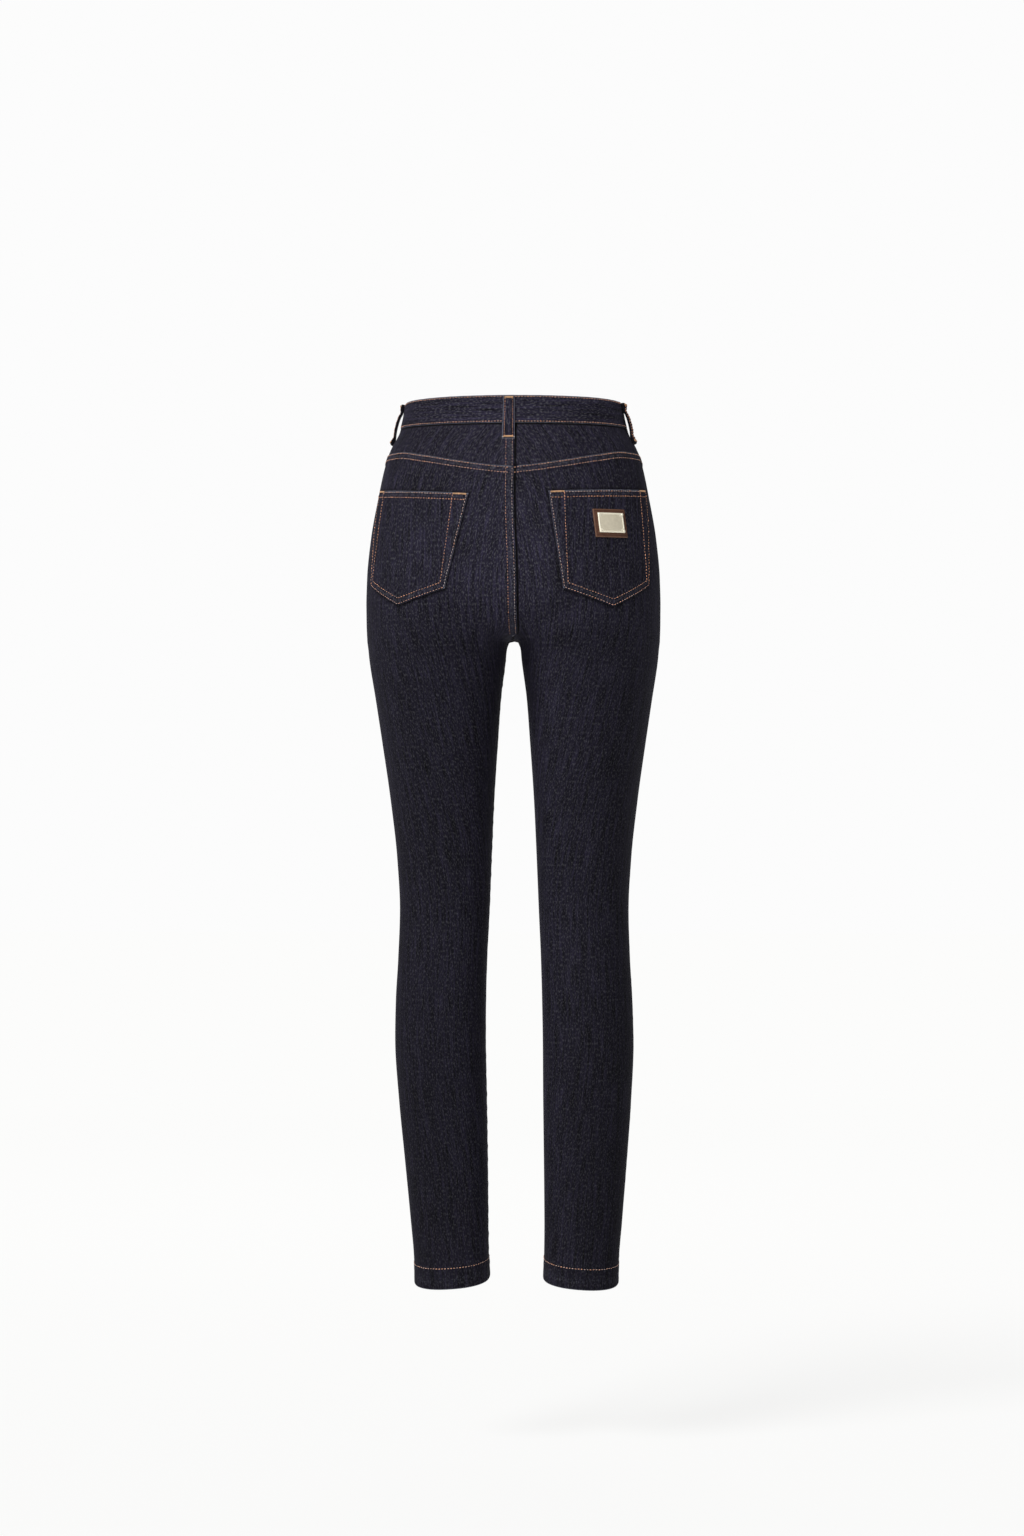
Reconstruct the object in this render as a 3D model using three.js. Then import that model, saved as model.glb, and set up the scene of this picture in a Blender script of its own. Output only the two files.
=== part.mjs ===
import * as THREE from "three";

// High-rise skinny jeans, drawn filled out as they are worn, in millimetres with +Z up.
// The front faces -Y, the wearer's left is +X. The origin is the centre of the waist, halfway up the waistband.
// Every cloth piece is cut from one surface, given by the distance round the body and the height.

// Cloth and seams
const DENIM = 1.4;
const SEAM_GAP = 0.3;
const LAY_GAP = 0.4;
const BAND_PROUD = 0.6;
const BAND_CLOTH = 2.6;
const HEM_CLOTH = 2.8;
const HEM_DEPTH = 22;

// Heights of the main lines
const CROTCH = -254;
const BAND_TOP = 13;
const BAND_BOTTOM = -15;
const HEM = -973.5;

// How far the hem drops for a step back or outwards, and the band's edges for a step forwards
const HEM_FALL = { back: 0.146, outwards: 0.07 };
const BAND_FALL = { top: 0.036, bottom: 0.05 };

// The rows of a leg follow the seam above them for this far, and the hem from this height down
const TOP_FADE = 110;
const HEM_FADE_FROM = -860;

// Below this height the cloth spans the centre back and front, and its seams there face straight out
const BRIDGED_BELOW = -60;

// The waistband's two ends, and where its under end starts to tuck in behind the over end
const BAND_ENDS = { under: -2.12, over: 2.085, tuckFrom: -1.9, tuckLength: 0.1 };

// Body and leg sections: outer and inner half-widths, where across the cloth is fullest, then how far
// it reaches back and forward. Above the crotch the inner value runs past the centre until the two
// legs make one ring, and bridge is the half-width over which the cloth spans the centre.
const SECTIONS = [
  { z: 24, outer: 120.5, inner: -120.5, fullest: 0, back: 87, front: -84, bridge: 0 },
  { z: 0, outer: 124, inner: -124, fullest: 0, back: 90, front: -88, bridge: 0 },
  { z: -18, outer: 128, inner: -128, fullest: 0, back: 94.5, front: -91.5, bridge: 0 },
  { z: -38, outer: 138.2, inner: -138.2, fullest: 0, back: 102, front: -96, bridge: 0 },
  { z: -60, outer: 145.4, inner: -145.4, fullest: 0, back: 108.5, front: -99, bridge: 3 },
  { z: -94, outer: 152.7, inner: -152.7, fullest: 2, back: 115.5, front: -101, bridge: 10 },
  { z: -139, outer: 161.2, inner: -161.2, fullest: 14, back: 121.5, front: -100.5, bridge: 18 },
  { z: -184, outer: 165.7, inner: -131, fullest: 38, back: 123.5, front: -98, bridge: 21 },
  { z: -210, outer: 166.2, inner: -78, fullest: 53, back: 121, front: -95, bridge: 19 },
  { z: -225, outer: 165.8, inner: -46, fullest: 61, back: 117.5, front: -93, bridge: 16 },
  { z: -236, outer: 165.4, inner: -24, fullest: 66.5, back: 114.5, front: -91.5, bridge: 12.5 },
  { z: -244, outer: 165, inner: -10.5, fullest: 70, back: 111.5, front: -90.3, bridge: 9.5 },
  { z: -250, outer: 164.6, inner: -1, fullest: 72.5, back: 109, front: -89.5, bridge: 7 },
  { z: -254, outer: 164.4, inner: 4.5, fullest: 74, back: 107.3, front: -89, bridge: 4.5 },
  { z: -255.6, outer: 164.2, inner: 5.4, fullest: 74.6, back: 106.5, front: -88.7, bridge: 0 },
  { z: -263, outer: 163.3, inner: 7.9, fullest: 77, back: 103.2, front: -87.8, bridge: 0 },
  { z: -275, outer: 162.2, inner: 9.1, fullest: 80, back: 98.5, front: -86.5, bridge: 0 },
  { z: -319, outer: 155.5, inner: 14.7, fullest: 85, back: 87, front: -84, bridge: 0 },
  { z: -364, outer: 148.8, inner: 18, fullest: 83.4, back: 79, front: -81, bridge: 0 },
  { z: -432, outer: 139.2, inner: 22.5, fullest: 80.9, back: 66, front: -74, bridge: 0 },
  { z: -499, outer: 131.9, inner: 25.5, fullest: 78.7, back: 54.5, front: -67, bridge: 0 },
  { z: -556, outer: 129, inner: 27.8, fullest: 78.4, back: 49.5, front: -62.5, bridge: 0 },
  { z: -612, outer: 130.7, inner: 30.4, fullest: 80.6, back: 53, front: -57, bridge: 0 },
  { z: -657, outer: 133.2, inner: 31.6, fullest: 82.4, back: 56.5, front: -52.5, bridge: 0 },
  { z: -703, outer: 134.2, inner: 32.1, fullest: 83.2, back: 57, front: -49, bridge: 0 },
  { z: -770, outer: 130.7, inner: 31.7, fullest: 81.2, back: 50.5, front: -47, bridge: 0 },
  { z: -838, outer: 125.1, inner: 31.6, fullest: 78.4, back: 42, front: -46.5, bridge: 0 },
  { z: -905, outer: 119.3, inner: 31.6, fullest: 75.5, back: 37.5, front: -46.5, bridge: 0 },
  { z: -950, outer: 115.6, inner: 31, fullest: 73.3, back: 36, front: -46.5, bridge: 0 },
  { z: -995, outer: 114.4, inner: 29, fullest: 71.7, back: 36, front: -46.5, bridge: 0 },
];

const SQUARENESS = 2.25;
const SIDE_SEAM = THREE.MathUtils.degToRad(188);
const INSEAM_FORWARD = THREE.MathUtils.degToRad(8);

// Stations round the body: 0 is the centre back or inseam, 1 the side seam, 2 the centre front or inseam.
// Each line below is a height for a share of the way from one station to the next.
const YOKE_LINE = [
  { share: 0, z: -64.4 },
  { share: 0.12, z: -61.8 },
  { share: 0.28, z: -57.4 },
  { share: 0.46, z: -52.6 },
  { share: 0.64, z: -47.4 },
  { share: 0.8, z: -45.2 },
  { share: 1, z: -43.8 },
];

// Heights of the rows of the leg panels, from the seam at the top to the hem
const BACK_ROWS = [
  -64.4, -86, -108, -130, -152, -172, -190, -206, -220, -232, -242, -249, -252.6, -254,
  -255.6, -261, -271, -288, -312, -344, -386, -436, -492, -550, -606, -656, -710, -776, -850, -912,
  -950.5, -952, -973.5,
];
const FRONT_ROWS = [
  -15, -38, -62, -88, -114, -140, -166, -190, -209, -224, -235, -243, -249, -252.6, -254,
  -255.6, -261, -271, -288, -312, -344, -386, -436, -492, -550, -606, -656, -710, -776, -850, -912,
  -950.5, -952, -973.5,
];
const BACK_COLUMNS = 19;
const FRONT_COLUMNS = 15;

// Back pockets: each corner's distance from the centre back seam, measured on the cloth, and its height
const POCKETS = {
  left: {
    topInner: { away: 45, z: -94.2 },
    topOuter: { away: 178, z: -86.5 },
    bottomInner: { away: 70.5, z: -198.8 },
    tip: { away: 126, z: -216.8 },
    bottomOuter: { away: 177.5, z: -193.5 },
  },
  right: {
    topInner: { away: 43, z: -91.8 },
    topOuter: { away: 178, z: -86.8 },
    bottomInner: { away: 59.5, z: -198.8 },
    tip: { away: 116, z: -218.5 },
    bottomOuter: { away: 170, z: -194.4 },
  },
};

// Leather patch with a metal plate on the right back pocket
const PATCH = { away: 92, z: -111.6, width: 39.6, height: 31, lean: 0.12, cloth: 1.6 };
const PLATE = { away: 97.2, z: -116, width: 31, height: 21.6, lean: 0.12, cloth: 1.1, rim: 1.7, slope: 0.9, recess: 0.4 };
const STUD = { radius: 1.5, height: 0.8, inset: 1.6, gap: 0.15 };

// The button from its post out to its rim and face: radius and height above the band
const BUTTON_PROFILE = [[0, 0], [3.4, 0], [3.4, 1], [8.2, 1.3], [8.6, 2], [8.2, 2.8], [6.6, 3.1], [0, 3.3]];

// Belt loops: station round the waist, how the strip stands off the band down its length, and how much
// lower it sits than at the back
const LOOP = { width: 12.7, cloth: 2.2, top: 15.4, bottom: -33.5 };
const LOOP_LIFT = [
  { down: 0, back: 0, side: 0 },
  { down: 0.1, back: 0, side: 0.05 },
  { down: 0.22, back: 0.45, side: 0.55 },
  { down: 0.38, back: 0.9, side: 0.9 },
  { down: 0.56, back: 1, side: 1 },
  { down: 0.72, back: 0.8, side: 0.9 },
  { down: 0.84, back: 0.35, side: 0.5 },
  { down: 0.93, back: 0, side: 0.05 },
  { down: 1, back: 0, side: 0 },
];
const LOOPS = [
  { name: "belt_loop_back", station: 0.008, drop: 0, lift: 1.2, shape: "back" },
  { name: "belt_loop_side_left", station: 0.915, drop: 0, lift: 2.9, shape: "side" },
  { name: "belt_loop_side_right", station: -0.915, drop: 0, lift: 2.9, shape: "side" },
  { name: "belt_loop_front_left", station: 1.62, drop: 3.5, lift: 2.2, shape: "side" },
  { name: "belt_loop_front_right", station: -1.62, drop: 3.5, lift: 2.2, shape: "side" },
];

// A smooth curve through a table's column that never overshoots its values
function curveThrough(table, key, column) {
  const rows = [...table].sort((p, q) => p[key] - q[key]);
  const at = rows.map((row) => row[key]);
  const value = rows.map((row) => row[column]);
  const rise = at.slice(1).map((t, i) => (value[i + 1] - value[i]) / (t - at[i]));
  const slope = at.map((_, i) => {
    if (i === 0) return rise[0];
    if (i === at.length - 1) return rise[i - 1];
    const before = rise[i - 1];
    const after = rise[i];
    return before * after <= 0 ? 0 : (2 * before * after) / (before + after);
  });
  return (t) => {
    const clamped = Math.min(Math.max(t, at[0]), at[at.length - 1]);
    let i = 0;
    while (i < at.length - 2 && clamped > at[i + 1]) i += 1;
    const step = at[i + 1] - at[i];
    const u = (clamped - at[i]) / step;
    const v = 1 - u;
    const start = value[i] * v * v * (1 + 2 * u) + step * slope[i] * u * v * v;
    const end = value[i + 1] * u * u * (1 + 2 * v) - step * slope[i + 1] * u * u * v;
    return start + end;
  };
}

const outerAt = curveThrough(SECTIONS, "z", "outer");
const innerAt = curveThrough(SECTIONS, "z", "inner");
const fullestAt = curveThrough(SECTIONS, "z", "fullest");
const backAt = curveThrough(SECTIONS, "z", "back");
const frontAt = curveThrough(SECTIONS, "z", "front");
const bridgeAt = curveThrough(SECTIONS, "z", "bridge");
const yokeAt = curveThrough(YOKE_LINE, "share", "z");
const loopLiftAt = {
  back: curveThrough(LOOP_LIFT, "down", "back"),
  side: curveThrough(LOOP_LIFT, "down", "side"),
};

const clamp01 = (t) => Math.min(Math.max(t, 0), 1);
const ease = (t) => clamp01(t) ** 2 * (3 - 2 * clamp01(t));
const mix = (a, b, t) => a + (b - a) * t;
const clampUnit = (t) => Math.min(Math.max(t, -1), 1);
const signedPower = (t, power) => Math.sign(t) * Math.abs(t) ** power;

// The closed ring of one side at a height, and where its back and front stretches start and end
function ringAt(z) {
  const back = backAt(z);
  const front = frontAt(z);
  const bridge = bridgeAt(z);
  const fullest = fullestAt(z);
  const inward = fullest - innerAt(z);
  const outward = outerAt(z) - fullest;
  let start = -INSEAM_FORWARD * ease((CROTCH - z) / 90);
  if (z >= CROTCH) {
    const short = fullest - bridge;
    start = Math.acos(clampUnit(signedPower(short / (short > 0 ? inward : outward), SQUARENESS / 2)));
  }
  const end = z >= CROTCH ? 2 * Math.PI - start : 2 * Math.PI + start;
  return { fullest, inward, outward, middle: (back + front) / 2, depth: (back - front) / 2, bridge, start, end, z };
}

function ringPoint(ring, angle) {
  const aside = signedPower(Math.cos(angle), 2 / SQUARENESS);
  const reach = ring.fullest - aside * (aside > 0 ? ring.inward : ring.outward);
  const x = Math.sqrt(Math.max(reach * reach - ring.bridge * ring.bridge, 0));
  const y = ring.middle + ring.depth * signedPower(Math.sin(angle), 2 / SQUARENESS);
  return new THREE.Vector3(x, y, ring.z);
}

// Distances along the back and front stretch of a ring, kept for each height
const SAMPLES = 56;
const rowStore = new Map();

function rowAt(z, part) {
  const name = `${part}${z.toFixed(3)}`;
  if (!rowStore.has(name)) {
    const ring = ringAt(z);
    const from = part === "back" ? ring.start : SIDE_SEAM;
    const to = part === "back" ? SIDE_SEAM : ring.end;
    const lengths = [0];
    let previous = ringPoint(ring, from);
    for (let i = 1; i <= SAMPLES; i += 1) {
      const point = ringPoint(ring, mix(from, to, i / SAMPLES));
      lengths.push(lengths[i - 1] + point.distanceTo(previous));
      previous = point;
    }
    rowStore.set(name, { ring, from, to, lengths, total: lengths[SAMPLES] });
  }
  return rowStore.get(name);
}

// Near the crotch a row gains the cloth that passes between the legs. That gain is taken up
// near the inner seam, so that the columns of a panel run straight down past the crotch.
const GAIN_FROM = -235;
const GAIN_TO = -345;
const GAIN_SHARE = 0.5;

function evenLength(z, part, total) {
  if (z >= GAIN_FROM || z <= GAIN_TO) return total;
  const share = ease((z - GAIN_FROM) / (GAIN_TO - GAIN_FROM));
  return mix(rowAt(GAIN_FROM, part).total, rowAt(GAIN_TO, part).total, share);
}

// A point of the surface at a station from 0 to 2 and a height, on the wearer's left
function leftPoint(station, z) {
  const part = station <= 1 ? "back" : "front";
  const row = rowAt(z, part);
  const fromSide = clamp01(Math.abs(station - 1));
  const even = evenLength(z, part, row.total);
  const gained = clamp01((fromSide - 1 + GAIN_SHARE) / GAIN_SHARE) ** 2;
  const distance = even * fromSide + (row.total - even) * gained;
  const goal = part === "back" ? row.total - distance : distance;
  let i = 0;
  while (i < SAMPLES - 1 && row.lengths[i + 1] < goal) i += 1;
  const share = (goal - row.lengths[i]) / (row.lengths[i + 1] - row.lengths[i] || 1);
  return ringPoint(row.ring, mix(row.from, row.to, (i + share) / SAMPLES));
}

// Negative stations run round the wearer's right, and stations past the centre front carry on round
function bodyPoint(station, z) {
  let wrapped = station;
  if (wrapped > 2) wrapped -= 4;
  if (wrapped < -2) wrapped += 4;
  const point = leftPoint(Math.abs(wrapped), z);
  if (wrapped < 0) point.x = -point.x;
  return point;
}

// The same point moved out from the surface
function clothPoint(station, z, out) {
  const step = 0.004;
  const aside = station >= 0 ? 1 : -1;
  const near = Math.abs(station);
  const low = near > 2 || z > BRIDGED_BELOW ? near - step : Math.max(near - step, 0);
  const high = near > 2 || z > BRIDGED_BELOW ? near + step : Math.min(near + step, 2);
  const along = bodyPoint(aside * high, z).sub(bodyPoint(aside * low, z)).multiplyScalar(aside);
  const up = bodyPoint(station, z + 0.7).sub(bodyPoint(station, z - 0.7));
  const normal = up.cross(along).normalize();
  return bodyPoint(station, z).addScaledVector(normal, out);
}

// Turns a distance on the cloth into a station
const backStation = (away, z) => away / rowAt(z, "back").total;

// A closed wall from a grid of stations and heights with an outer and an inner face.
// place(i, j) gives a pair of points; columns run to growing station and rows run down.
function makeWall(columns, rows, place) {
  const corners = [];
  for (let j = 0; j <= rows; j += 1) {
    for (let i = 0; i <= columns; i += 1) {
      const { outer, inner } = place(i, j);
      corners.push(outer.x, outer.y, outer.z, inner.x, inner.y, inner.z);
    }
  }
  const outerIndex = (i, j) => 2 * (j * (columns + 1) + i);
  const innerIndex = (i, j) => outerIndex(i, j) + 1;
  const faces = [];
  const quad = (a, b, c, d) => faces.push(a, b, c, a, c, d);
  for (let j = 0; j < rows; j += 1) {
    for (let i = 0; i < columns; i += 1) {
      quad(outerIndex(i, j), outerIndex(i + 1, j), outerIndex(i + 1, j + 1), outerIndex(i, j + 1));
      quad(innerIndex(i, j), innerIndex(i, j + 1), innerIndex(i + 1, j + 1), innerIndex(i + 1, j));
    }
    quad(outerIndex(0, j), outerIndex(0, j + 1), innerIndex(0, j + 1), innerIndex(0, j));
    quad(outerIndex(columns, j), innerIndex(columns, j), innerIndex(columns, j + 1), outerIndex(columns, j + 1));
  }
  for (let i = 0; i < columns; i += 1) {
    quad(outerIndex(i, 0), innerIndex(i, 0), innerIndex(i + 1, 0), outerIndex(i + 1, 0));
    quad(outerIndex(i, rows), outerIndex(i + 1, rows), innerIndex(i + 1, rows), innerIndex(i, rows));
  }
  const geometry = new THREE.BufferGeometry();
  geometry.setAttribute("position", new THREE.Float32BufferAttribute(corners, 3));
  geometry.setIndex(faces);
  geometry.computeVertexNormals();
  return geometry;
}

// The mirror image of a piece, for the other side
function mirrored(geometry) {
  const copy = geometry.clone();
  copy.scale(-1, 1, 1);
  const index = copy.getIndex();
  for (let i = 0; i < index.count; i += 3) {
    const kept = index.getX(i);
    index.setX(i, index.getX(i + 1));
    index.setX(i + 1, kept);
  }
  copy.computeVertexNormals();
  return copy;
}

// The hem is lower at the back and at the outer side
function hemDrop(station) {
  const ring = ringAt(HEM);
  const point = leftPoint(station, HEM);
  return -HEM_FALL.back * (point.y - ring.middle) - HEM_FALL.outwards * (point.x - ring.fullest);
}

// Height of a leg row at a station: it follows the seam above it and the hem below it
function legHeight(station, rowHeight, topHeight, topShape) {
  const nearTop = 1 - clamp01((topHeight - rowHeight) / TOP_FADE);
  const nearHem = ease((rowHeight - HEM_FADE_FROM) / (HEM - HEM_FADE_FROM));
  return rowHeight + nearTop * (topShape(station) - topHeight) + nearHem * hemDrop(station);
}

function wallAt(rowHeight) {
  return rowHeight < HEM + HEM_DEPTH ? HEM_CLOTH : DENIM;
}

// Stations of a panel's columns, held half a seam gap off both of its seams
function panelStation(from, to, share, z) {
  const total = rowAt(z, from < 1 ? "back" : "front").total;
  const inset = SEAM_GAP / 2 / total;
  return mix(from + inset, to - inset, share);
}

function legPanel(from, to, columns, rows, topShape) {
  return makeWall(columns, rows.length - 1, (i, j) => {
    const rough = mix(from, to, i / columns);
    const z = legHeight(rough, rows[j], rows[0], topShape) - (j === 0 ? SEAM_GAP / 2 : 0);
    const station = panelStation(from, to, i / columns, z);
    return { outer: clothPoint(station, z, 0), inner: clothPoint(station, z, -wallAt(rows[j])) };
  });
}

// A piece of the shell between two height lines
function shellPiece(from, to, columns, rows, topLine, bottomLine, out, cloth) {
  return makeWall(columns, rows, (i, j) => {
    const rough = mix(from, to, i / columns);
    const z = mix(topLine(rough) - SEAM_GAP / 2, bottomLine(rough) + SEAM_GAP / 2, j / rows);
    const station = panelStation(from, to, i / columns, z);
    return { outer: clothPoint(station, z, out), inner: clothPoint(station, z, out - cloth) };
  });
}

// Lines of the waistband: level at the back and sides, a little lower in front
const bandTop = (station) => BAND_TOP + BAND_FALL.top * bodyPoint(station, 0).y;
const bandBottom = (station) => BAND_BOTTOM + BAND_FALL.bottom * Math.min(bodyPoint(station, 0).y, 0);

function pocketPiece(corners) {
  const columns = 13;
  const rows = 10;
  const tipShare = 0.52;
  return makeWall(columns, rows, (i, j) => {
    const across = i / columns;
    const down = j / rows;
    const top = { away: 0, z: 0 };
    const bottom = { away: 0, z: 0 };
    for (const key of ["away", "z"]) {
      top[key] = mix(corners.topInner[key], corners.topOuter[key], across);
      bottom[key] = across < tipShare
        ? mix(corners.bottomInner[key], corners.tip[key], across / tipShare)
        : mix(corners.tip[key], corners.bottomOuter[key], (across - tipShare) / (1 - tipShare));
    }
    const z = mix(top.z, bottom.z, down);
    const station = backStation(mix(top.away, bottom.away, down), z);
    return { outer: clothPoint(station, z, LAY_GAP + DENIM), inner: clothPoint(station, z, LAY_GAP) };
  });
}

// A small rectangle laid on the pocket, leaning as the pocket does
function tagPiece(tag, under, steps, reliefAt) {
  const columns = steps.length - 1;
  return makeWall(columns, columns, (i, j) => {
    const z = tag.z - tag.height * steps[j];
    const station = backStation(tag.away + tag.width * steps[i] + tag.lean * tag.height * steps[j], z);
    const top = under + tag.cloth - reliefAt(i, j, columns);
    return { outer: clothPoint(station, z, top), inner: clothPoint(station, z, under) };
  });
}

function loopPiece(loop) {
  const columns = 2;
  const rows = 12;
  return makeWall(columns, rows, (i, j) => {
    const down = j / rows;
    const z = mix(LOOP.top, LOOP.bottom, down) - loop.drop;
    const part = Math.abs(loop.station) < 1 ? "back" : "front";
    const across = ((i / columns - 0.5) * LOOP.width) / rowAt(0, part).total;
    const lift = BAND_PROUD + LAY_GAP + loop.lift * loopLiftAt[loop.shape](down);
    const station = loop.station + across;
    return { outer: clothPoint(station, z, lift + LOOP.cloth), inner: clothPoint(station, z, lift) };
  });
}

// The waistband runs from its under end, tucked in at the front, round the back to its over end
function waistbandPiece() {
  const columns = 64;
  const rows = 3;
  return makeWall(columns, rows, (i, j) => {
    const station = mix(BAND_ENDS.under, BAND_ENDS.over, i / columns);
    const tuck = 1 - ease((station - BAND_ENDS.tuckFrom) / BAND_ENDS.tuckLength);
    const out = BAND_PROUD - tuck * (BAND_CLOTH + LAY_GAP);
    const z = mix(bandTop(station), bandBottom(station) + SEAM_GAP / 2, j / rows);
    return { outer: clothPoint(station, z, out), inner: clothPoint(station, z, out - BAND_CLOTH) };
  });
}

const denim = new THREE.MeshStandardMaterial({ name: "denim", color: 0x2b2934, roughness: 0.92, metalness: 0 });
const leather = new THREE.MeshStandardMaterial({ name: "leather", color: 0x624433, roughness: 0.6, metalness: 0 });
const plated = new THREE.MeshStandardMaterial({ name: "plated_metal", color: 0xbfb49d, roughness: 0.35, metalness: 1 });

const jeans = new THREE.Group();
jeans.name = "skinny_jeans";

function addPiece(name, geometry, material) {
  const mesh = new THREE.Mesh(geometry, material);
  mesh.name = name;
  jeans.add(mesh);
  return mesh;
}

// Leg panels and yokes, made for the left and mirrored
const yokeLine = (station) => yokeAt(station);
const pairs = {
  back: legPanel(0, 1, BACK_COLUMNS, BACK_ROWS, yokeLine),
  front: legPanel(1, 2, FRONT_COLUMNS, FRONT_ROWS, bandBottom),
  yoke: shellPiece(0, 1, 18, 4, bandBottom, yokeLine, 0, DENIM),
};
for (const [name, geometry] of Object.entries(pairs)) {
  addPiece(`${name}_left`, geometry, denim);
  addPiece(`${name}_right`, mirrored(geometry), denim);
}

addPiece("waistband", waistbandPiece(), denim);
for (const loop of LOOPS) addPiece(loop.name, loopPiece(loop), denim);
addPiece("back_pocket_left", pocketPiece(POCKETS.left), denim);
addPiece("back_pocket_right", mirrored(pocketPiece(POCKETS.right)), denim);

// Patch: plain leather, then the metal plate with its raised rim, then a stud in each corner
const patchUnder = LAY_GAP + DENIM + SEAM_GAP;
const plateUnder = patchUnder + PATCH.cloth + SEAM_GAP;
const rimShare = PLATE.rim / PLATE.width;
const fieldShare = (PLATE.rim + PLATE.slope) / PLATE.width;
const plateSteps = [0, rimShare, fieldShare, 0.35, 0.65, 1 - fieldShare, 1 - rimShare, 1];
const plateRelief = (i, j, last) => (Math.min(i, j) > 1 && Math.max(i, j) < last - 1 ? PLATE.recess : 0);
addPiece("patch_leather", mirrored(tagPiece(PATCH, patchUnder, [0, 0.25, 0.5, 0.75, 1], () => 0)), leather);
addPiece("patch_plate", mirrored(tagPiece(PLATE, plateUnder, plateSteps, plateRelief)), plated);

const studTop = plateUnder + PLATE.cloth + STUD.gap + STUD.height / 2;
[[0, 0], [1, 0], [0, 1], [1, 1]].forEach(([across, down], k) => {
  const z = mix(PLATE.z - STUD.inset, PLATE.z - PLATE.height + STUD.inset, down);
  const lean = PLATE.lean * (PLATE.z - z);
  const away = mix(PLATE.away + STUD.inset, PLATE.away + PLATE.width - STUD.inset, across) + lean;
  const station = -backStation(away, z);
  const seat = clothPoint(station, z, studTop);
  const outward = clothPoint(station, z, studTop + 1).sub(seat).normalize();
  const stud = addPiece(`patch_stud_${k + 1}`, new THREE.CylinderGeometry(STUD.radius, STUD.radius, STUD.height, 10), plated);
  stud.position.copy(seat);
  stud.quaternion.setFromUnitVectors(new THREE.Vector3(0, 1, 0), outward);
});

// The button stands on the over end of the waistband, at the centre front
const profile = BUTTON_PROFILE.map(([radius, height]) => new THREE.Vector2(radius, height));
const button = addPiece("button", new THREE.LatheGeometry(profile, 20), plated);
const buttonHeight = (bandTop(2) + bandBottom(2)) / 2;
const buttonSeat = clothPoint(2, buttonHeight, BAND_PROUD + SEAM_GAP);
const buttonOut = clothPoint(2, buttonHeight, BAND_PROUD + SEAM_GAP + 1).sub(buttonSeat).normalize();
button.position.copy(buttonSeat);
button.quaternion.setFromUnitVectors(new THREE.Vector3(0, 1, 0), buttonOut);

export default jeans;
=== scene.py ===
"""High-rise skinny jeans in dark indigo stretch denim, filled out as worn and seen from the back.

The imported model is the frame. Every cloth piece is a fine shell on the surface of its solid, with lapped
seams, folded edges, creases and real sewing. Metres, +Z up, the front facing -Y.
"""

from __future__ import annotations

import logging
import math
import sys
from dataclasses import dataclass, field
from enum import Enum
from typing import Callable, Sequence

import bpy
import numpy as np
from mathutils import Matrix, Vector


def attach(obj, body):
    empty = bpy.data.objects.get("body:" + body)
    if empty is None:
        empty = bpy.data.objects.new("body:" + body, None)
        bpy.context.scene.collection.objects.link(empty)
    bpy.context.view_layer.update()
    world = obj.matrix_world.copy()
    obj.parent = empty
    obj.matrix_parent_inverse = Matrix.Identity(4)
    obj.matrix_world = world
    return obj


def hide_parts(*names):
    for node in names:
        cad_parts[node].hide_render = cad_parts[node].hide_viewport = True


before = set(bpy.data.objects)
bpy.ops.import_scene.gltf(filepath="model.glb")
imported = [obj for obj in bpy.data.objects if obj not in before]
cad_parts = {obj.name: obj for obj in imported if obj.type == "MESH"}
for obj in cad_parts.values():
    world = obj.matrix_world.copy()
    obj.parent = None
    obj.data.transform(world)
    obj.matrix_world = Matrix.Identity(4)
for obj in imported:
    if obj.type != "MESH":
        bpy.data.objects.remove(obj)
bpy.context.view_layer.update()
LOG = logging.getLogger("jeans")

# Cloth and seams
DENIM = 0.0014
LAY_GAP = 0.0004
BAND_PROUD = 0.0006
BAND_CLOTH = 0.0026
HEM_CLOTH = 0.0028
HEM_DEPTH = 0.0235
LAP_RISE = 0.0009
LAP_BACK = 0.00008
STITCH_CHANNEL = 0.00022
LOWER_LEG_LEAN = 0.0026
CENTRE_FOLD = 0.0122
CENTRE_ROWS = (0.0020, 0.0091)
CENTRE_FADES = (0.9, 0.15)

# The centre back lap: its reach above and below, where it widens, and where it ends
LAP_ABOVE = 0.0049
LAP_BELOW = 0.0080
LAP_WIDENS = (-0.090, 0.110)
LAP_END = -0.2522

# How far the edges fall for each metre to the front, the back or the outer side
BAND_TOP_SLOPE = 0.036
BAND_BOTTOM_SLOPE = 0.05
HEM_BACK_SLOPE = 0.146
HEM_OUTER_SLOPE = 0.07

# Heights of the main lines
CROTCH = -0.254
BAND_TOP = 0.013
BAND_BOTTOM = -0.015
HEM = -0.9735
YOKE_REFERENCE = -0.0644

# How the cloth is shared out along a row, as in the part's source
SQUARENESS = 2.25
SIDE_SEAM = math.radians(188)
INSEAM_FORWARD = math.radians(8)
GAIN_FROM = -0.235
GAIN_TO = -0.345
GAIN_SHARE = 0.5

FULL_TURN = 6.28
Array = np.ndarray
Flat = tuple[float, float]
Line = tuple[Array, Array]


@dataclass(frozen=True)
class Section:
    """Half-widths and depths of the body and legs at one height, in metres."""

    z: float
    outer: float
    inner: float
    fullest: float
    back: float
    front: float
    bridge: float = 0.0


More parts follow.
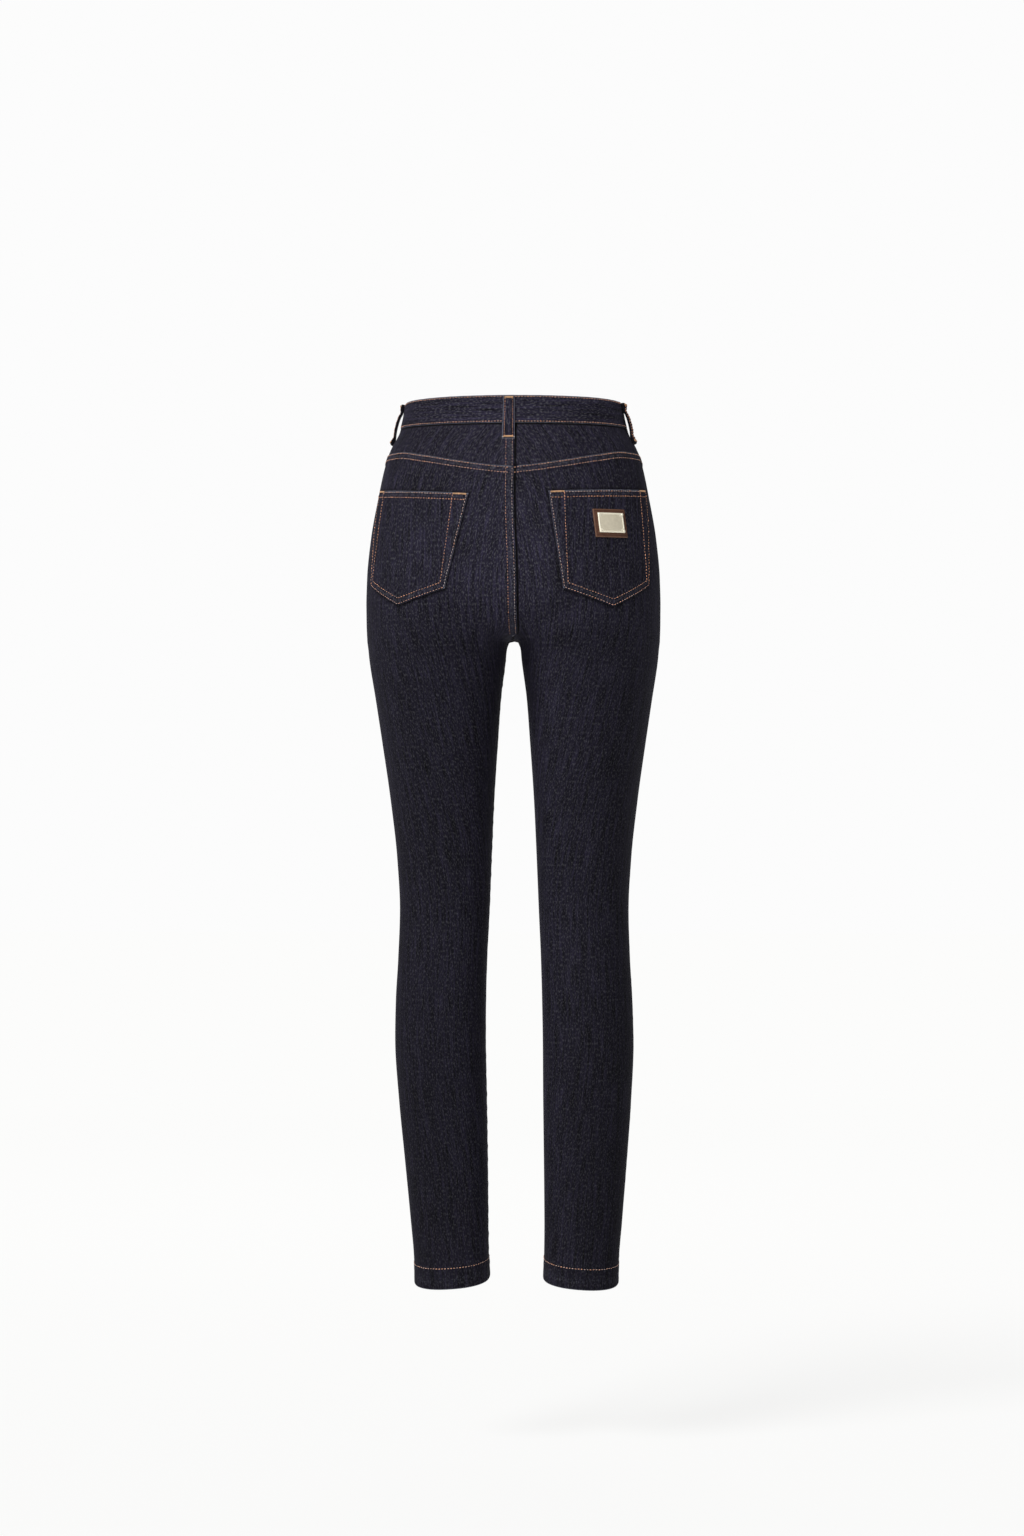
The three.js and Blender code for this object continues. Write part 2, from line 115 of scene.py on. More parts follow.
# Each row: z, outer, inner, fullest, back, front and, where the legs part, bridge
SECTIONS = (
    Section(0.024, 0.1205, -0.1205, 0.0, 0.087, -0.084),
    Section(0.000, 0.124, -0.124, 0.0, 0.090, -0.088),
    Section(-0.018, 0.128, -0.128, 0.0, 0.0945, -0.0915),
    Section(-0.038, 0.1382, -0.1382, 0.0, 0.102, -0.096),
    Section(-0.060, 0.1454, -0.1454, 0.0, 0.1085, -0.099, 0.003),
    Section(-0.094, 0.1527, -0.1527, 0.002, 0.1155, -0.101, 0.010),
    Section(-0.139, 0.1612, -0.1612, 0.014, 0.1215, -0.1005, 0.018),
    Section(-0.184, 0.1657, -0.131, 0.038, 0.1235, -0.098, 0.021),
    Section(-0.210, 0.1662, -0.078, 0.053, 0.121, -0.095, 0.019),
    Section(-0.225, 0.1658, -0.046, 0.061, 0.1175, -0.093, 0.016),
    Section(-0.236, 0.1654, -0.024, 0.0665, 0.1145, -0.0915, 0.0125),
    Section(-0.244, 0.165, -0.0105, 0.070, 0.1115, -0.0903, 0.0095),
    Section(-0.250, 0.1646, -0.001, 0.0725, 0.109, -0.0895, 0.007),
    Section(-0.254, 0.1644, 0.0045, 0.074, 0.1073, -0.089, 0.0045),
    Section(-0.2556, 0.1642, 0.0054, 0.0746, 0.1065, -0.0887),
    Section(-0.263, 0.1633, 0.0079, 0.077, 0.1032, -0.0878),
    Section(-0.275, 0.1622, 0.0091, 0.080, 0.0985, -0.0865),
    Section(-0.319, 0.1555, 0.0147, 0.085, 0.087, -0.084),
    Section(-0.364, 0.1488, 0.018, 0.0834, 0.079, -0.081),
    Section(-0.432, 0.1392, 0.0225, 0.0809, 0.066, -0.074),
    Section(-0.499, 0.1319, 0.0255, 0.0787, 0.0545, -0.067),
    Section(-0.556, 0.129, 0.0278, 0.0784, 0.0495, -0.0625),
    Section(-0.612, 0.1307, 0.0304, 0.0806, 0.053, -0.057),
    Section(-0.657, 0.1332, 0.0316, 0.0824, 0.0565, -0.0525),
    Section(-0.703, 0.1342, 0.0321, 0.0832, 0.057, -0.049),
    Section(-0.770, 0.1307, 0.0317, 0.0812, 0.0505, -0.047),
    Section(-0.838, 0.1251, 0.0316, 0.0784, 0.042, -0.0465),
    Section(-0.905, 0.1193, 0.0316, 0.0755, 0.0375, -0.0465),
    Section(-0.950, 0.1156, 0.031, 0.0733, 0.036, -0.0465),
    Section(-0.995, 0.1144, 0.029, 0.0717, 0.036, -0.0465),
)

# Height of the yoke seam for a share of the way from the centre back to the side seam
YOKE_LINE = (
    (0.0, -0.0644),
    (0.12, -0.0614),
    (0.28, -0.0562),
    (0.46, -0.0495),
    (0.64, -0.0446),
    (0.8, -0.0449),
    (0.92, -0.0465),
    (1.0, -0.0482),
)


class Side(Enum):
    """The wearer's two sides: left is +X."""

    LEFT = 1
    RIGHT = -1

    @property
    def word(self) -> str:
        """The side's word in a node's name."""
        return self.name.lower()


def ease(t: Array) -> Array:
    """A smooth step from 0 to 1 as t goes from 0 to 1."""
    t = np.clip(t, 0.0, 1.0)
    return t * t * (3.0 - 2.0 * t)


def mix(a: Array, b: Array, t: Array) -> Array:
    """The value a share t of the way from a to b."""
    return a + (b - a) * t


def bell(t: Array, middle: float, width: float) -> Array:
    """A bump of height 1 at the middle that fades on both sides."""
    return np.exp(-(((t - middle) / width) ** 2))


def unit(vectors: Array) -> Array:
    """Vectors brought to length 1."""
    return vectors / np.maximum(np.linalg.norm(vectors, axis=-1, keepdims=True), 1e-12)


def run_length(line: Line) -> float:
    """Length of a line of points."""
    return float(np.linalg.norm(np.diff(line[0], axis=0), axis=1).sum())


def signed_power(t: Array, power: float) -> Array:
    """Raises the size of t to a power and keeps its sign."""
    return np.sign(t) * np.abs(t) ** power


def curve_through(at: Sequence[float], value: Sequence[float]) -> Callable[[Array], Array]:
    """A smooth curve that never overshoots its values.

    Args:
        at: where the values stand.
        value: the values there.

    Returns:
        A function that gives the curve's value at each place in an array.
    """
    order = np.argsort(at)
    places = np.asarray(at, float)[order]
    values = np.asarray(value, float)[order]
    step = np.diff(places)
    rise = np.diff(values) / step
    product = rise[:-1] * rise[1:]
    total = np.where(product > 0, rise[:-1] + rise[1:], 1)
    slope = np.concatenate([[rise[0]], np.where(product > 0, 2 * product / total, 0), [rise[-1]]])

    def evaluate(t: Array) -> Array:
        """The curve's value at t."""
        t = np.clip(t, places[0], places[-1])
        i = np.clip(np.searchsorted(places, t) - 1, 0, len(places) - 2)
        u = (t - places[i]) / step[i]
        v = 1 - u
        start = values[i] * v * v * (1 + 2 * u) + step[i] * slope[i] * u * v * v
        return start + values[i + 1] * u * u * (1 + 2 * v) - step[i] * slope[i + 1] * u * u * v

    return evaluate


def section_curve(name: str) -> Callable[[Array], Array]:
    """The curve of one column of the sections against height."""
    return curve_through([row.z for row in SECTIONS], [getattr(row, name) for row in SECTIONS])


class BodySurface:
    """The surface that every cloth piece lies on, by station round the body and height.

    Station 0 is the centre back or the inseam, 1 the side seam and 2 the centre front or the inseam. Negative
    stations run round the wearer's right.
    """

    PER_PART = 160
    SAMPLES = 240

    def __init__(self) -> None:
        """Samples every row once."""
        self.heights = np.unique(np.concatenate([
            np.arange(-0.998, -0.262, 0.002),
            np.arange(-0.262, -0.225, 0.0004),
            np.arange(-0.225, 0.0285, 0.002),
            [CROTCH],
        ]).round(5))
        curves = {name: section_curve(name) for name in ("outer", "inner", "fullest", "back", "front", "bridge")}
        values = {name: curve(self.heights) for name, curve in curves.items()}
        rows = {
            part: [
                self._stretch({name: v[k] for name, v in values.items()}, z, part)
                for k, z in enumerate(self.heights)
            ]
            for part in ("back", "front")
        }
        self.totals = {part: np.array([lengths[-1] for _, lengths in row]) for part, row in rows.items()}
        self.evens = {part: self._even(part) for part in rows}
        self.grid = np.zeros((len(self.heights), 2 * self.PER_PART + 1, 3))
        share = np.linspace(0, 1, self.PER_PART + 1)
        for part, columns in (("back", slice(0, self.PER_PART + 1)), ("front", slice(self.PER_PART, None))):
            for k, (points, lengths) in enumerate(rows[part]):
                from_side = 1 - share if part == "back" else share
                distance = self._distance(from_side, self.evens[part][k], lengths[-1])
                goal = lengths[-1] - distance if part == "back" else distance
                self.grid[k, columns] = np.stack([np.interp(goal, lengths, points[:, i]) for i in range(3)], -1)

    def _stretch(self, row: dict[str, float], z: float, part: str) -> tuple[Array, Array]:
        """Points and running lengths along the back or front stretch of one row.

        Args:
            row: half-widths and depths by name.
            z: the row's height.
            part: back or front.

        Returns:
            The points, and the length run at each.
        """
        inward = row["fullest"] - row["inner"]
        outward = row["outer"] - row["fullest"]
        start = float(-INSEAM_FORWARD * ease((CROTCH - z) / 0.090))
        end = 2 * math.pi + start
        if z >= CROTCH - 1e-9:
            short = row["fullest"] - row["bridge"]
            cosine = signed_power(short / (inward if short > 0 else outward), SQUARENESS / 2)
            start = math.acos(float(np.clip(cosine, -1, 1)))
            end = 2 * math.pi - start
        low, high = (start, SIDE_SEAM) if part == "back" else (SIDE_SEAM, end)
        angle = np.linspace(low, high, self.SAMPLES + 1)
        aside = signed_power(np.cos(angle), 2 / SQUARENESS)
        reach = row["fullest"] - aside * np.where(aside > 0, inward, outward)
        x = np.sqrt(np.maximum(reach * reach - row["bridge"] ** 2, 0))
        depth = (row["back"] - row["front"]) / 2
        y = (row["back"] + row["front"]) / 2 + depth * signed_power(np.sin(angle), 2 / SQUARENESS)
        points = np.stack([x, y, np.full_like(x, z)], -1)
        lengths = np.concatenate([[0], np.cumsum(np.linalg.norm(np.diff(points, axis=0), axis=1))])
        return points, lengths

    def _even(self, part: str) -> Array:
        """Row lengths without the cloth that passes between the legs near the crotch."""
        total = self.totals[part]
        low = np.interp(GAIN_TO, self.heights, total)
        high = np.interp(GAIN_FROM, self.heights, total)
        blended = mix(high, low, ease((self.heights - GAIN_FROM) / (GAIN_TO - GAIN_FROM)))
        return np.where((self.heights >= GAIN_FROM) | (self.heights <= GAIN_TO), total, blended)

    @staticmethod
    def _distance(from_side: Array, even: Array, total: Array) -> Array:
        """Distance from the side seam for a share of the way to the inner seam."""
        gained = np.clip((from_side - 1 + GAIN_SHARE) / GAIN_SHARE, 0, 1) ** 2
        return even * from_side + (total - even) * gained

    def distance_from_side(self, station: Array, z: Array) -> Array:
        """Distance on the cloth from the side seam.

        Args:
            station: where round the body.
            z: how high.

        Returns:
            The distances.
        """
        near = np.abs(station)
        even, total = (
            np.where(near <= 1, np.interp(z, self.heights, of["back"]), np.interp(z, self.heights, of["front"]))
            for of in (self.evens, self.totals)
        )
        return self._distance(np.abs(near - 1), even, total)

    def length(self, part: str, z: Array) -> Array:
        """Length of a row's back or front stretch."""
        return np.interp(z, self.heights, self.totals[part])

    def inner_rate(self, part: str, z: Array) -> Array:
        """Distance on the cloth for one station, close to the centre or inseam."""
        even = np.interp(z, self.heights, self.evens[part])
        return even + 2 * (self.length(part, z) - even) / GAIN_SHARE

    def points(self, station: Array, z: Array) -> Array:
        """Points of the surface.

        Args:
            station: where round the body.
            z: how high.

        Returns:
            Places by 3, in metres.
        """
        station, z = np.broadcast_arrays(np.asarray(station, float), np.asarray(z, float))
        wrapped = np.where(station > 2, station - 4, station)
        wrapped = np.where(wrapped < -2, wrapped + 4, wrapped)
        place = np.clip(np.abs(wrapped), 0, 2) * self.PER_PART
        i = np.clip(np.floor(place).astype(int), 0, 2 * self.PER_PART - 1)
        across = (place - i)[..., None]
        height = np.clip(z, self.heights[0], self.heights[-1])
        j = np.clip(np.searchsorted(self.heights, height) - 1, 0, len(self.heights) - 2)
        along = ((height - self.heights[j]) / (self.heights[j + 1] - self.heights[j]))[..., None]
        low = mix(self.grid[j, i], self.grid[j, i + 1], across)
        high = mix(self.grid[j + 1, i], self.grid[j + 1, i + 1], across)
        found = mix(low, high, along)
        found[..., 0] *= np.where(wrapped < 0, -1.0, 1.0)
        found[..., 0] -= LOWER_LEG_LEAN * ease((-0.60 - z) / 0.34)
        return found

    def normals(self, station: Array, z: Array) -> Array:
        """Unit normals that point out of the body.

        Args:
            station: where round the body.
            z: how high.

        Returns:
            The normals. Below the crotch none reaches over to the other leg.
        """
        station, z = np.broadcast_arrays(np.asarray(station, float), np.asarray(z, float))
        step = 0.006
        low = station - step
        high = station + step
        held = z < CROTCH + 0.004
        left = station >= 0
        low = np.where(held & left, np.maximum(low, 0), low)
        high = np.where(held & left, np.minimum(high, 2), high)
        low = np.where(held & ~left, np.maximum(low, -2), low)
        high = np.where(held & ~left, np.minimum(high, -1e-7), high)
        along = self.points(high, z) - self.points(low, z)
        up = self.points(station, z + 0.001) - self.points(station, z - 0.001)
        return unit(np.cross(up, along))

    def between(self, station: Array, z: Array, outer: Array, inner: Array) -> tuple[Array, Array]:
        """Points of an outer and an inner face.

        Args:
            station: where round the body.
            z: how high.
            outer: how far the outer face stands off the surface.
            inner: how far the inner face stands off it.

        Returns:
            The points of both.
        """
        normals, base = self.normals(station, z), self.points(station, z)
        return tuple(base + normals * np.asarray(rise)[..., None] for rise in (outer, inner))


SURFACE = BodySurface()
yoke_line = curve_through([share for share, _ in YOKE_LINE], [z for _, z in YOKE_LINE])


def band_top(station: Array) -> Array:
    """Height of the waistband's upper edge."""
    return BAND_TOP + BAND_TOP_SLOPE * SURFACE.points(station, 0.0)[..., 1]


def band_bottom(station: Array) -> Array:
    """Height of the seam under the waistband."""
    return BAND_BOTTOM + BAND_BOTTOM_SLOPE * np.minimum(SURFACE.points(station, 0.0)[..., 1], 0)


def centre_lap(z: Array) -> Array:
    """How far the left side's folded edge passes over the centre back line. It wanders to the right lower down."""
    widened = ease((LAP_WIDENS[0] - z) / LAP_WIDENS[1])
    return mix(LAP_ABOVE, LAP_BELOW, widened) * ease((z - LAP_END) / 0.005)


def hem_drop(station: Array) -> Array:
    """How far the hem stands off its middle height: it is lower at the back and at the outer side."""
    point = SURFACE.points(np.abs(station), HEM)
    middle = (section_curve("back")(HEM) + section_curve("front")(HEM)) / 2
    aside = point[..., 0] - section_curve("fullest")(HEM)
    return -HEM_BACK_SLOPE * (point[..., 1] - middle) - HEM_OUTER_SLOPE * aside


def leg_height(station: Array, row: Array, top: float, shape: Callable[[Array], Array]) -> Array:
    """Height of a leg row at a station: it follows the seam above and the hem below.

    Args:
        station: where round the body.
        row: the row's middle height.
        top: the top seam's own height.
        shape: height of the top seam at a station.

    Returns:
        The heights.
    """
    near_top = 1 - np.clip((top - row) / 0.110, 0, 1)
    near_hem = ease((row + 0.860) / (HEM + 0.860))
    return row + near_top * (shape(station) - top) + near_hem * hem_drop(station)


@dataclass(frozen=True)
class Crease:
    """A soft trough or ridge: place, lean from level, length, width and depth (a ridge is negative)."""

    station: float
    z: float
    lean: float
    length: float
    width: float
    depth: float

    def relief(self, station: Array, z: Array) -> Array:
        """How far the crease moves the cloth out.

        Args:
            station: where round the body.
            z: how high.

        Returns:
            The distances, less than 0 in a trough.
        """
        rate = float(SURFACE.length("back" if abs(self.station) < 1 else "front", np.array(self.z)))
        aside = (station - self.station) * rate
        up = z - self.z
        angle = math.radians(self.lean)
        along = aside * math.cos(angle) + up * math.sin(angle)
        across = -aside * math.sin(angle) + up * math.cos(angle)
        fade = np.exp(-((along / (self.length / 2)) ** 4))
        return -self.depth * fade * bell(across, 0.0, self.width)


# Creases by side of the wearer: the back as it shows, the front in the same spirit.
# Each row: station, z, lean in degrees, length, width, depth
CREASES = (
    Crease(0.115, -0.043, 4, 0.024, 0.0017, 0.0006),
    Crease(-0.075, -0.034, 38, 0.030, 0.0024, 0.0005),
    Crease(-0.135, -0.040, 30, 0.034, 0.0030, 0.0004),
    Crease(-0.095, -0.084, 24, 0.050, 0.0034, 0.0005),
    Crease(-0.150, -0.076, 16, 0.050, 0.0032, 0.0004),
    Crease(0.105, -0.086, -22, 0.040, 0.0034, 0.0004),
    Crease(0.20, -0.232, 24, 0.095, 0.0100, 0.0022),
    Crease(-0.20, -0.231, -24, 0.095, 0.0100, 0.0022),
    Crease(0.30, -0.262, 12, 0.110, 0.0090, 0.0012),
    Crease(-0.31, -0.264, -10, 0.105, 0.0090, 0.0012),
    Crease(0.46, -0.300, 6, 0.080, 0.0080, -0.0008),
    Crease(-0.44, -0.306, -8, 0.085, 0.0080, -0.0008),
    Crease(0.42, -0.536, 5, 0.085, 0.0075, 0.0010),
    Crease(0.48, -0.566, -7, 0.095, 0.0085, 0.0012),
    Crease(0.40, -0.598, 8, 0.070, 0.0075, 0.0007),
    Crease(-0.44, -0.540, -6, 0.090, 0.0080, 0.0011),
    Crease(-0.47, -0.574, 7, 0.090, 0.0085, 0.0011),
    Crease(-0.38, -0.606, -9, 0.065, 0.0070, 0.0007),
    Crease(1.72, -0.205, 34, 0.090, 0.0060, 0.0013),
    Crease(1.62, -0.190, 24, 0.090, 0.0065, 0.0011),
    Crease(1.68, -0.240, 18, 0.085, 0.0065, 0.0012),
    Crease(-1.72, -0.207, -33, 0.085, 0.0060, 0.0013),
    Crease(-1.61, -0.194, -22, 0.095, 0.0065, 0.0011),
    Crease(-1.69, -0.243, -17, 0.080, 0.0065, 0.0012),
    Crease(1.52, -0.545, 6, 0.070, 0.0080, 0.0007),
    Crease(-1.50, -0.552, -5, 0.075, 0.0080, 0.0007),
    Crease(0.52, -0.905, 8, 0.060, 0.0060, 0.0007),
    Crease(-0.50, -0.912, -7, 0.060, 0.0060, 0.0007),
)


def crease_relief(station: Array, z: Array) -> Array:
    """All creases together."""
    station, z = np.broadcast_arrays(station, z)
    return sum(crease.relief(station, z) for crease in CREASES)


def pucker(distance: Array, along: Array, seed: int, reach: float = 0.007, depth: float = 0.00022) -> Array:
    """Small uneven gathers beside a sewn line.

    Args:
        distance: distance from the line.
        along: running length of the line.
        seed: sets the line's own gathers.
        reach: how far from the line they die out.
        depth: their usual height.

    Returns:
        How far they move the cloth out.
    """
    random = np.random.default_rng(seed)
    total = np.zeros(np.broadcast(distance, along).shape)
    for wave in random.uniform(0.0055, 0.016, 6):
        total = total + np.sin(along / wave * 2 * math.pi + random.uniform(0, FULL_TURN))
    return depth * total / 2.4 * bell(distance, 0.0, reach)


def dip(distance: Array, line: float, width: float = 0.0006) -> Array:
    """The narrow channel that a row of stitches pulls into the cloth."""
    return -STITCH_CHANNEL * bell(distance, line, width)


def runs(*stretches: tuple[float, float, int]) -> Array:
    """Joins evenly spaced stretches, each from, to and count, into one rising or falling list."""
    parts = [np.linspace(low, high, count + 1)[1:] for low, high, count in stretches]
    return np.concatenate([[stretches[0][0]], *parts])


def mirrored(side: Side, *grids: Array) -> tuple[Array, ...]:
    """Grids with their columns turned round on the right side, so that outer faces stay outward."""
    return tuple(grid[:, ::-1] for grid in grids) if side is Side.RIGHT else grids


def ring_quads(rings: int, sides: int) -> Array:
    """Faces between rings of points that follow each other."""
    return np.array([
        [r * sides + s, r * sides + t, (r + 1) * sides + t, (r + 1) * sides + s]
        for r in range(rings - 1)
        for s, t in zip(range(sides), [*range(1, sides), 0])
    ])


def new_mesh(name: str, points: Array, faces: list, *finishes: bpy.types.Material) -> bpy.types.Mesh:
    """A smooth-shaded mesh with its materials.

    Args:
        name: the mesh's name.
        points: places by 3.
        faces: corner numbers of each face.
        *finishes: its materials, in slot order.

    Returns:
        The mesh.
    """
    mesh = bpy.data.meshes.new(name)
    mesh.from_pydata(points.tolist(), [], faces)
    for finish in finishes:
        mesh.materials.append(finish)
    mesh.shade_smooth()
    return mesh


def new_object(name: str, data: bpy.types.ID) -> bpy.types.Object:
    """Puts an object with its data into the scene."""
    thing = bpy.data.objects.new(name, data)
    bpy.context.scene.collection.objects.link(thing)
    return thing


class Wall:
    """A closed thin shell between an outer and an inner grid of points."""

    def __init__(self, name: str, outer: Array, inner: Array, weave: Array, wear_and_shade: Array) -> None:
        """Keeps the grids: rows run down and columns to growing station.

        Args:
            name: the piece's name.
            outer: rows by columns by 3 points of the outer face.
            inner: the same for the inner face.
            weave: rows by columns by 2 places on the flat cloth, in metres.
            wear_and_shade: rows by columns of how worn the cloth is, from 0 to 1, and below 0 how far painted
                shade darkens it.
        """
        self.name = name
        self.outer = outer
        self.inner = inner
        self.weave = weave
        self.wear_and_shade = wear_and_shade

    def area(self) -> float:
        """The outer face's area in square metres."""
        along = np.diff(self.outer, axis=0)[:, :-1]
        across = np.diff(self.outer, axis=1)[:-1]
        return float(np.linalg.norm(np.cross(along, across), axis=-1).sum())

    def size(self) -> tuple[float, float]:
        """The widest row and the longest column of the outer face."""
        width = np.linalg.norm(np.diff(self.outer, axis=1), axis=-1).sum(1).max()
        length = np.linalg.norm(np.diff(self.outer, axis=0), axis=-1).sum(0).max()
        return float(width), float(length)

    def build(self, face: bpy.types.Material, lining: bpy.types.Material) -> bpy.types.Object:
        """Makes the mesh object.

        Args:
            face: the material of the outer face and the edges.
            lining: the material of the inner face, which may be the same.

        Returns:
            The object, linked to the scene.
        """
        rows, columns = self.outer.shape[:2]
        count = rows * columns
        index = np.arange(count).reshape(rows, columns)
        a, b, c, d = index[:-1, :-1], index[:-1, 1:], index[1:, 1:], index[1:, :-1]
        outer = np.stack([a, b, c, d], -1).reshape(-1, 4)
        inner = np.stack([a, d, c, b], -1).reshape(-1, 4) + count

        def edge(first: Array, second: Array) -> Array:
            """Faces of one edge, from the outer grid to the inner."""
            return np.stack([first, second, second + count, first + count], -1)

        def turned(faces: Array) -> Array:
            """The same faces seen from the other side."""
            return faces[:, [0, 3, 2, 1]]

        top, bottom = turned(edge(index[0, :-1], index[0, 1:])), edge(index[-1, :-1], index[-1, 1:])
        low, high = edge(index[:-1, 0], index[1:, 0]), turned(edge(index[:-1, -1], index[1:, -1]))
        faces = np.concatenate([outer, top, bottom, low, high, inner])
        points = np.concatenate([self.outer.reshape(-1, 3), self.inner.reshape(-1, 3)])
        finishes = [face] if lining is face else [face, lining]
        mesh = new_mesh(self.name, points, faces.tolist(), *finishes)
        layer = mesh.uv_layers.new(name="weave")
        weave = np.concatenate([self.weave.reshape(-1, 2)] * 2)
        layer.data.foreach_set("uv", weave[faces.reshape(-1)].astype(np.float32).ravel())
        # One value carries real wear above 0, where the cloth is worn pale, and painted shade below 0, where the
        # cloth is darker beside folds and edges.
        worn = mesh.attributes.new("wear_and_shade", "FLOAT", "POINT")
        worn.data.foreach_set("value", np.concatenate([self.wear_and_shade.ravel()] * 2).astype(np.float32))
        slots = np.zeros(len(faces), dtype=np.int32)
        slots[len(faces) - len(inner):] = len(finishes) - 1
        mesh.polygons.foreach_set("material_index", slots)
        mesh.set_sharp_from_angle(angle=math.radians(50))
        return new_object(self.name, mesh)


def weave_places(station: Array, z: Array) -> Array:
    """Places on the flat cloth: the warp runs down each panel, and each side has its own stretch of cloth."""
    station, z = np.broadcast_arrays(station, z)
    aside = SURFACE.distance_from_side(station, z) * np.where(np.abs(station) <= 1, -1, 1)
    return np.stack([aside + np.where(station < 0, 1.37, 0.0), z], -1)


class Net:
    """A short way to write shader nodes."""

    def __init__(self, tree: bpy.types.NodeTree) -> None:
        """Works on one node tree."""
        self.tree = tree

    def add(self, kind: str, operation: str | None = None, **values: object) -> bpy.types.Node:
        """Adds a node.

        Args:
            kind: Blender's name for the node.
            operation: the node's operation, if it has one.
            **values: sockets by name, each a number, a tuple or another node's output.

        Returns:
            The new node.
        """
        node = self.tree.nodes.new(kind)
        if operation is not None:
            node.operation = operation
        return self.fill(node, **values)

    def fill(self, node: bpy.types.Node, **values: object) -> bpy.types.Node:
        """Sets or links inputs of a node by name, and gives the node back."""
        for name, value in values.items():
            self.put(node.inputs[name.replace("_", " ")], value)
        return node

    def put(self, socket: bpy.types.NodeSocket, value: object) -> None:
        """Sets one input to a value or links it to a socket."""
        if isinstance(value, bpy.types.NodeSocket):
            self.tree.links.new(value, socket)
        else:
            socket.default_value = value

    def math(self, operation: str, *values: object) -> bpy.types.NodeSocket:
        """Adds a maths node on up to three values or sockets, and gives its output."""
        node = self.add("ShaderNodeMath", operation)
        for socket, value in zip(node.inputs, values):
            self.put(socket, value)
        return node.outputs[0]

    def times(self, first: object, second: object) -> bpy.types.NodeSocket:
        """The product of two values."""
        return self.math("MULTIPLY", first, second)

    def gain(self, value: object, share: object, base: object) -> bpy.types.NodeSocket:
        """A share of a value, on a base."""
        return self.math("MULTIPLY_ADD", value, share, base)

    def span(self, value: object, low: object, high: object, smooth: bool = False) -> bpy.types.NodeSocket:
        """A rise from 0 at low to 1 at high.

        Args:
            value: what is read.
            low: where the rise starts.
            high: where it ends.
            smooth: whether it eases in and out.

        Returns:
            The rise, from 0 to 1.
        """
        node = self.add("ShaderNodeMapRange", Value=value, From_Min=low, From_Max=high)
        if smooth:
            node.interpolation_type = "SMOOTHSTEP"
        return node.outputs[0]

    def noise(self, place: object, scale: object, detail: object, **more: object) -> bpy.types.NodeSocket:
        """Soft noise round one half."""
        return self.add("ShaderNodeTexNoise", Vector=place, Scale=scale, Detail=detail, **more).outputs[0]

    def blend(self, factor: object, first: object, second: object, kind: str = "MIX") -> bpy.types.NodeSocket:
        """Mixes two colours, each a tuple or a socket, and gives the mixed colour.

        Args:
            factor: share of the second colour.
            first: the first colour.
            second: the second.
            kind: Blender's name for the way they mix.

        Returns:
            The mixed colour.
        """
        node = self.add("ShaderNodeMix")
        node.data_type = "RGBA"
        node.blend_type = kind
        for socket, value in ((node.inputs[0], factor), (node.inputs[6], first), (node.inputs[7], second)):
            self.put(socket, value)
        return node.outputs[2]

    def toned(self, color: object, tone: bpy.types.NodeSocket) -> bpy.types.NodeSocket:
        """A colour times a grey."""
        grey = self.add("ShaderNodeCombineColor", Red=tone, Green=tone, Blue=tone).outputs[0]
        return self.blend(1.0, color, grey, "MULTIPLY")

    def bump(self, height: bpy.types.NodeSocket, strength: float, distance: float) -> bpy.types.NodeSocket:
        """The normal of a fine relief."""
        return self.add("ShaderNodeBump", Height=height, Strength=strength, Distance=distance).outputs[0]

    def marked(self, name: str) -> bpy.types.NodeSocket:
        """The number that the mesh keeps under a name."""
        node = self.add("ShaderNodeAttribute")
        node.attribute_name = name
        return node.outputs["Fac"]

    def where(self) -> bpy.types.NodeSocket:
        """The place on the object, in metres."""
        return self.add("ShaderNodeTexCoord").outputs["Object"]

    def effect(self, tree: bpy.types.NodeTree, **values: object) -> bpy.types.NodeSocket:
        """Places a node group, and gives its first output."""
        node = self.tree.nodes.new("ShaderNodeGroup")
        node.node_tree = tree
        return self.fill(node, **values).outputs[0]


class Group(Net):
    """A node group in the making, which gives one value."""

    def __init__(self, name: str, **inputs: float | None) -> None:
        """Makes the empty group.

        Args:
            name: the group's name.
            **inputs: the default of each input, or None for a place.
        """
        super().__init__(bpy.data.node_groups.new(name, "ShaderNodeTree"))
        for word, default in inputs.items():
            kind = "NodeSocketVector" if default is None else "NodeSocketFloat"
            socket = self.tree.interface.new_socket(name=word, in_out="INPUT", socket_type=kind)
            if default is not None:
                socket.default_value = default
        self.tree.interface.new_socket(name="Value", in_out="OUTPUT", socket_type="NodeSocketFloat")
        self.given = self.tree.nodes.new("NodeGroupInput").outputs
        self.result = self.tree.nodes.new("NodeGroupOutput").inputs

    def finish(self, value: bpy.types.NodeSocket) -> bpy.types.NodeTree:
        """Gives out the value, and gives back the group."""
        self.put(self.result["Value"], value)
        return self.tree


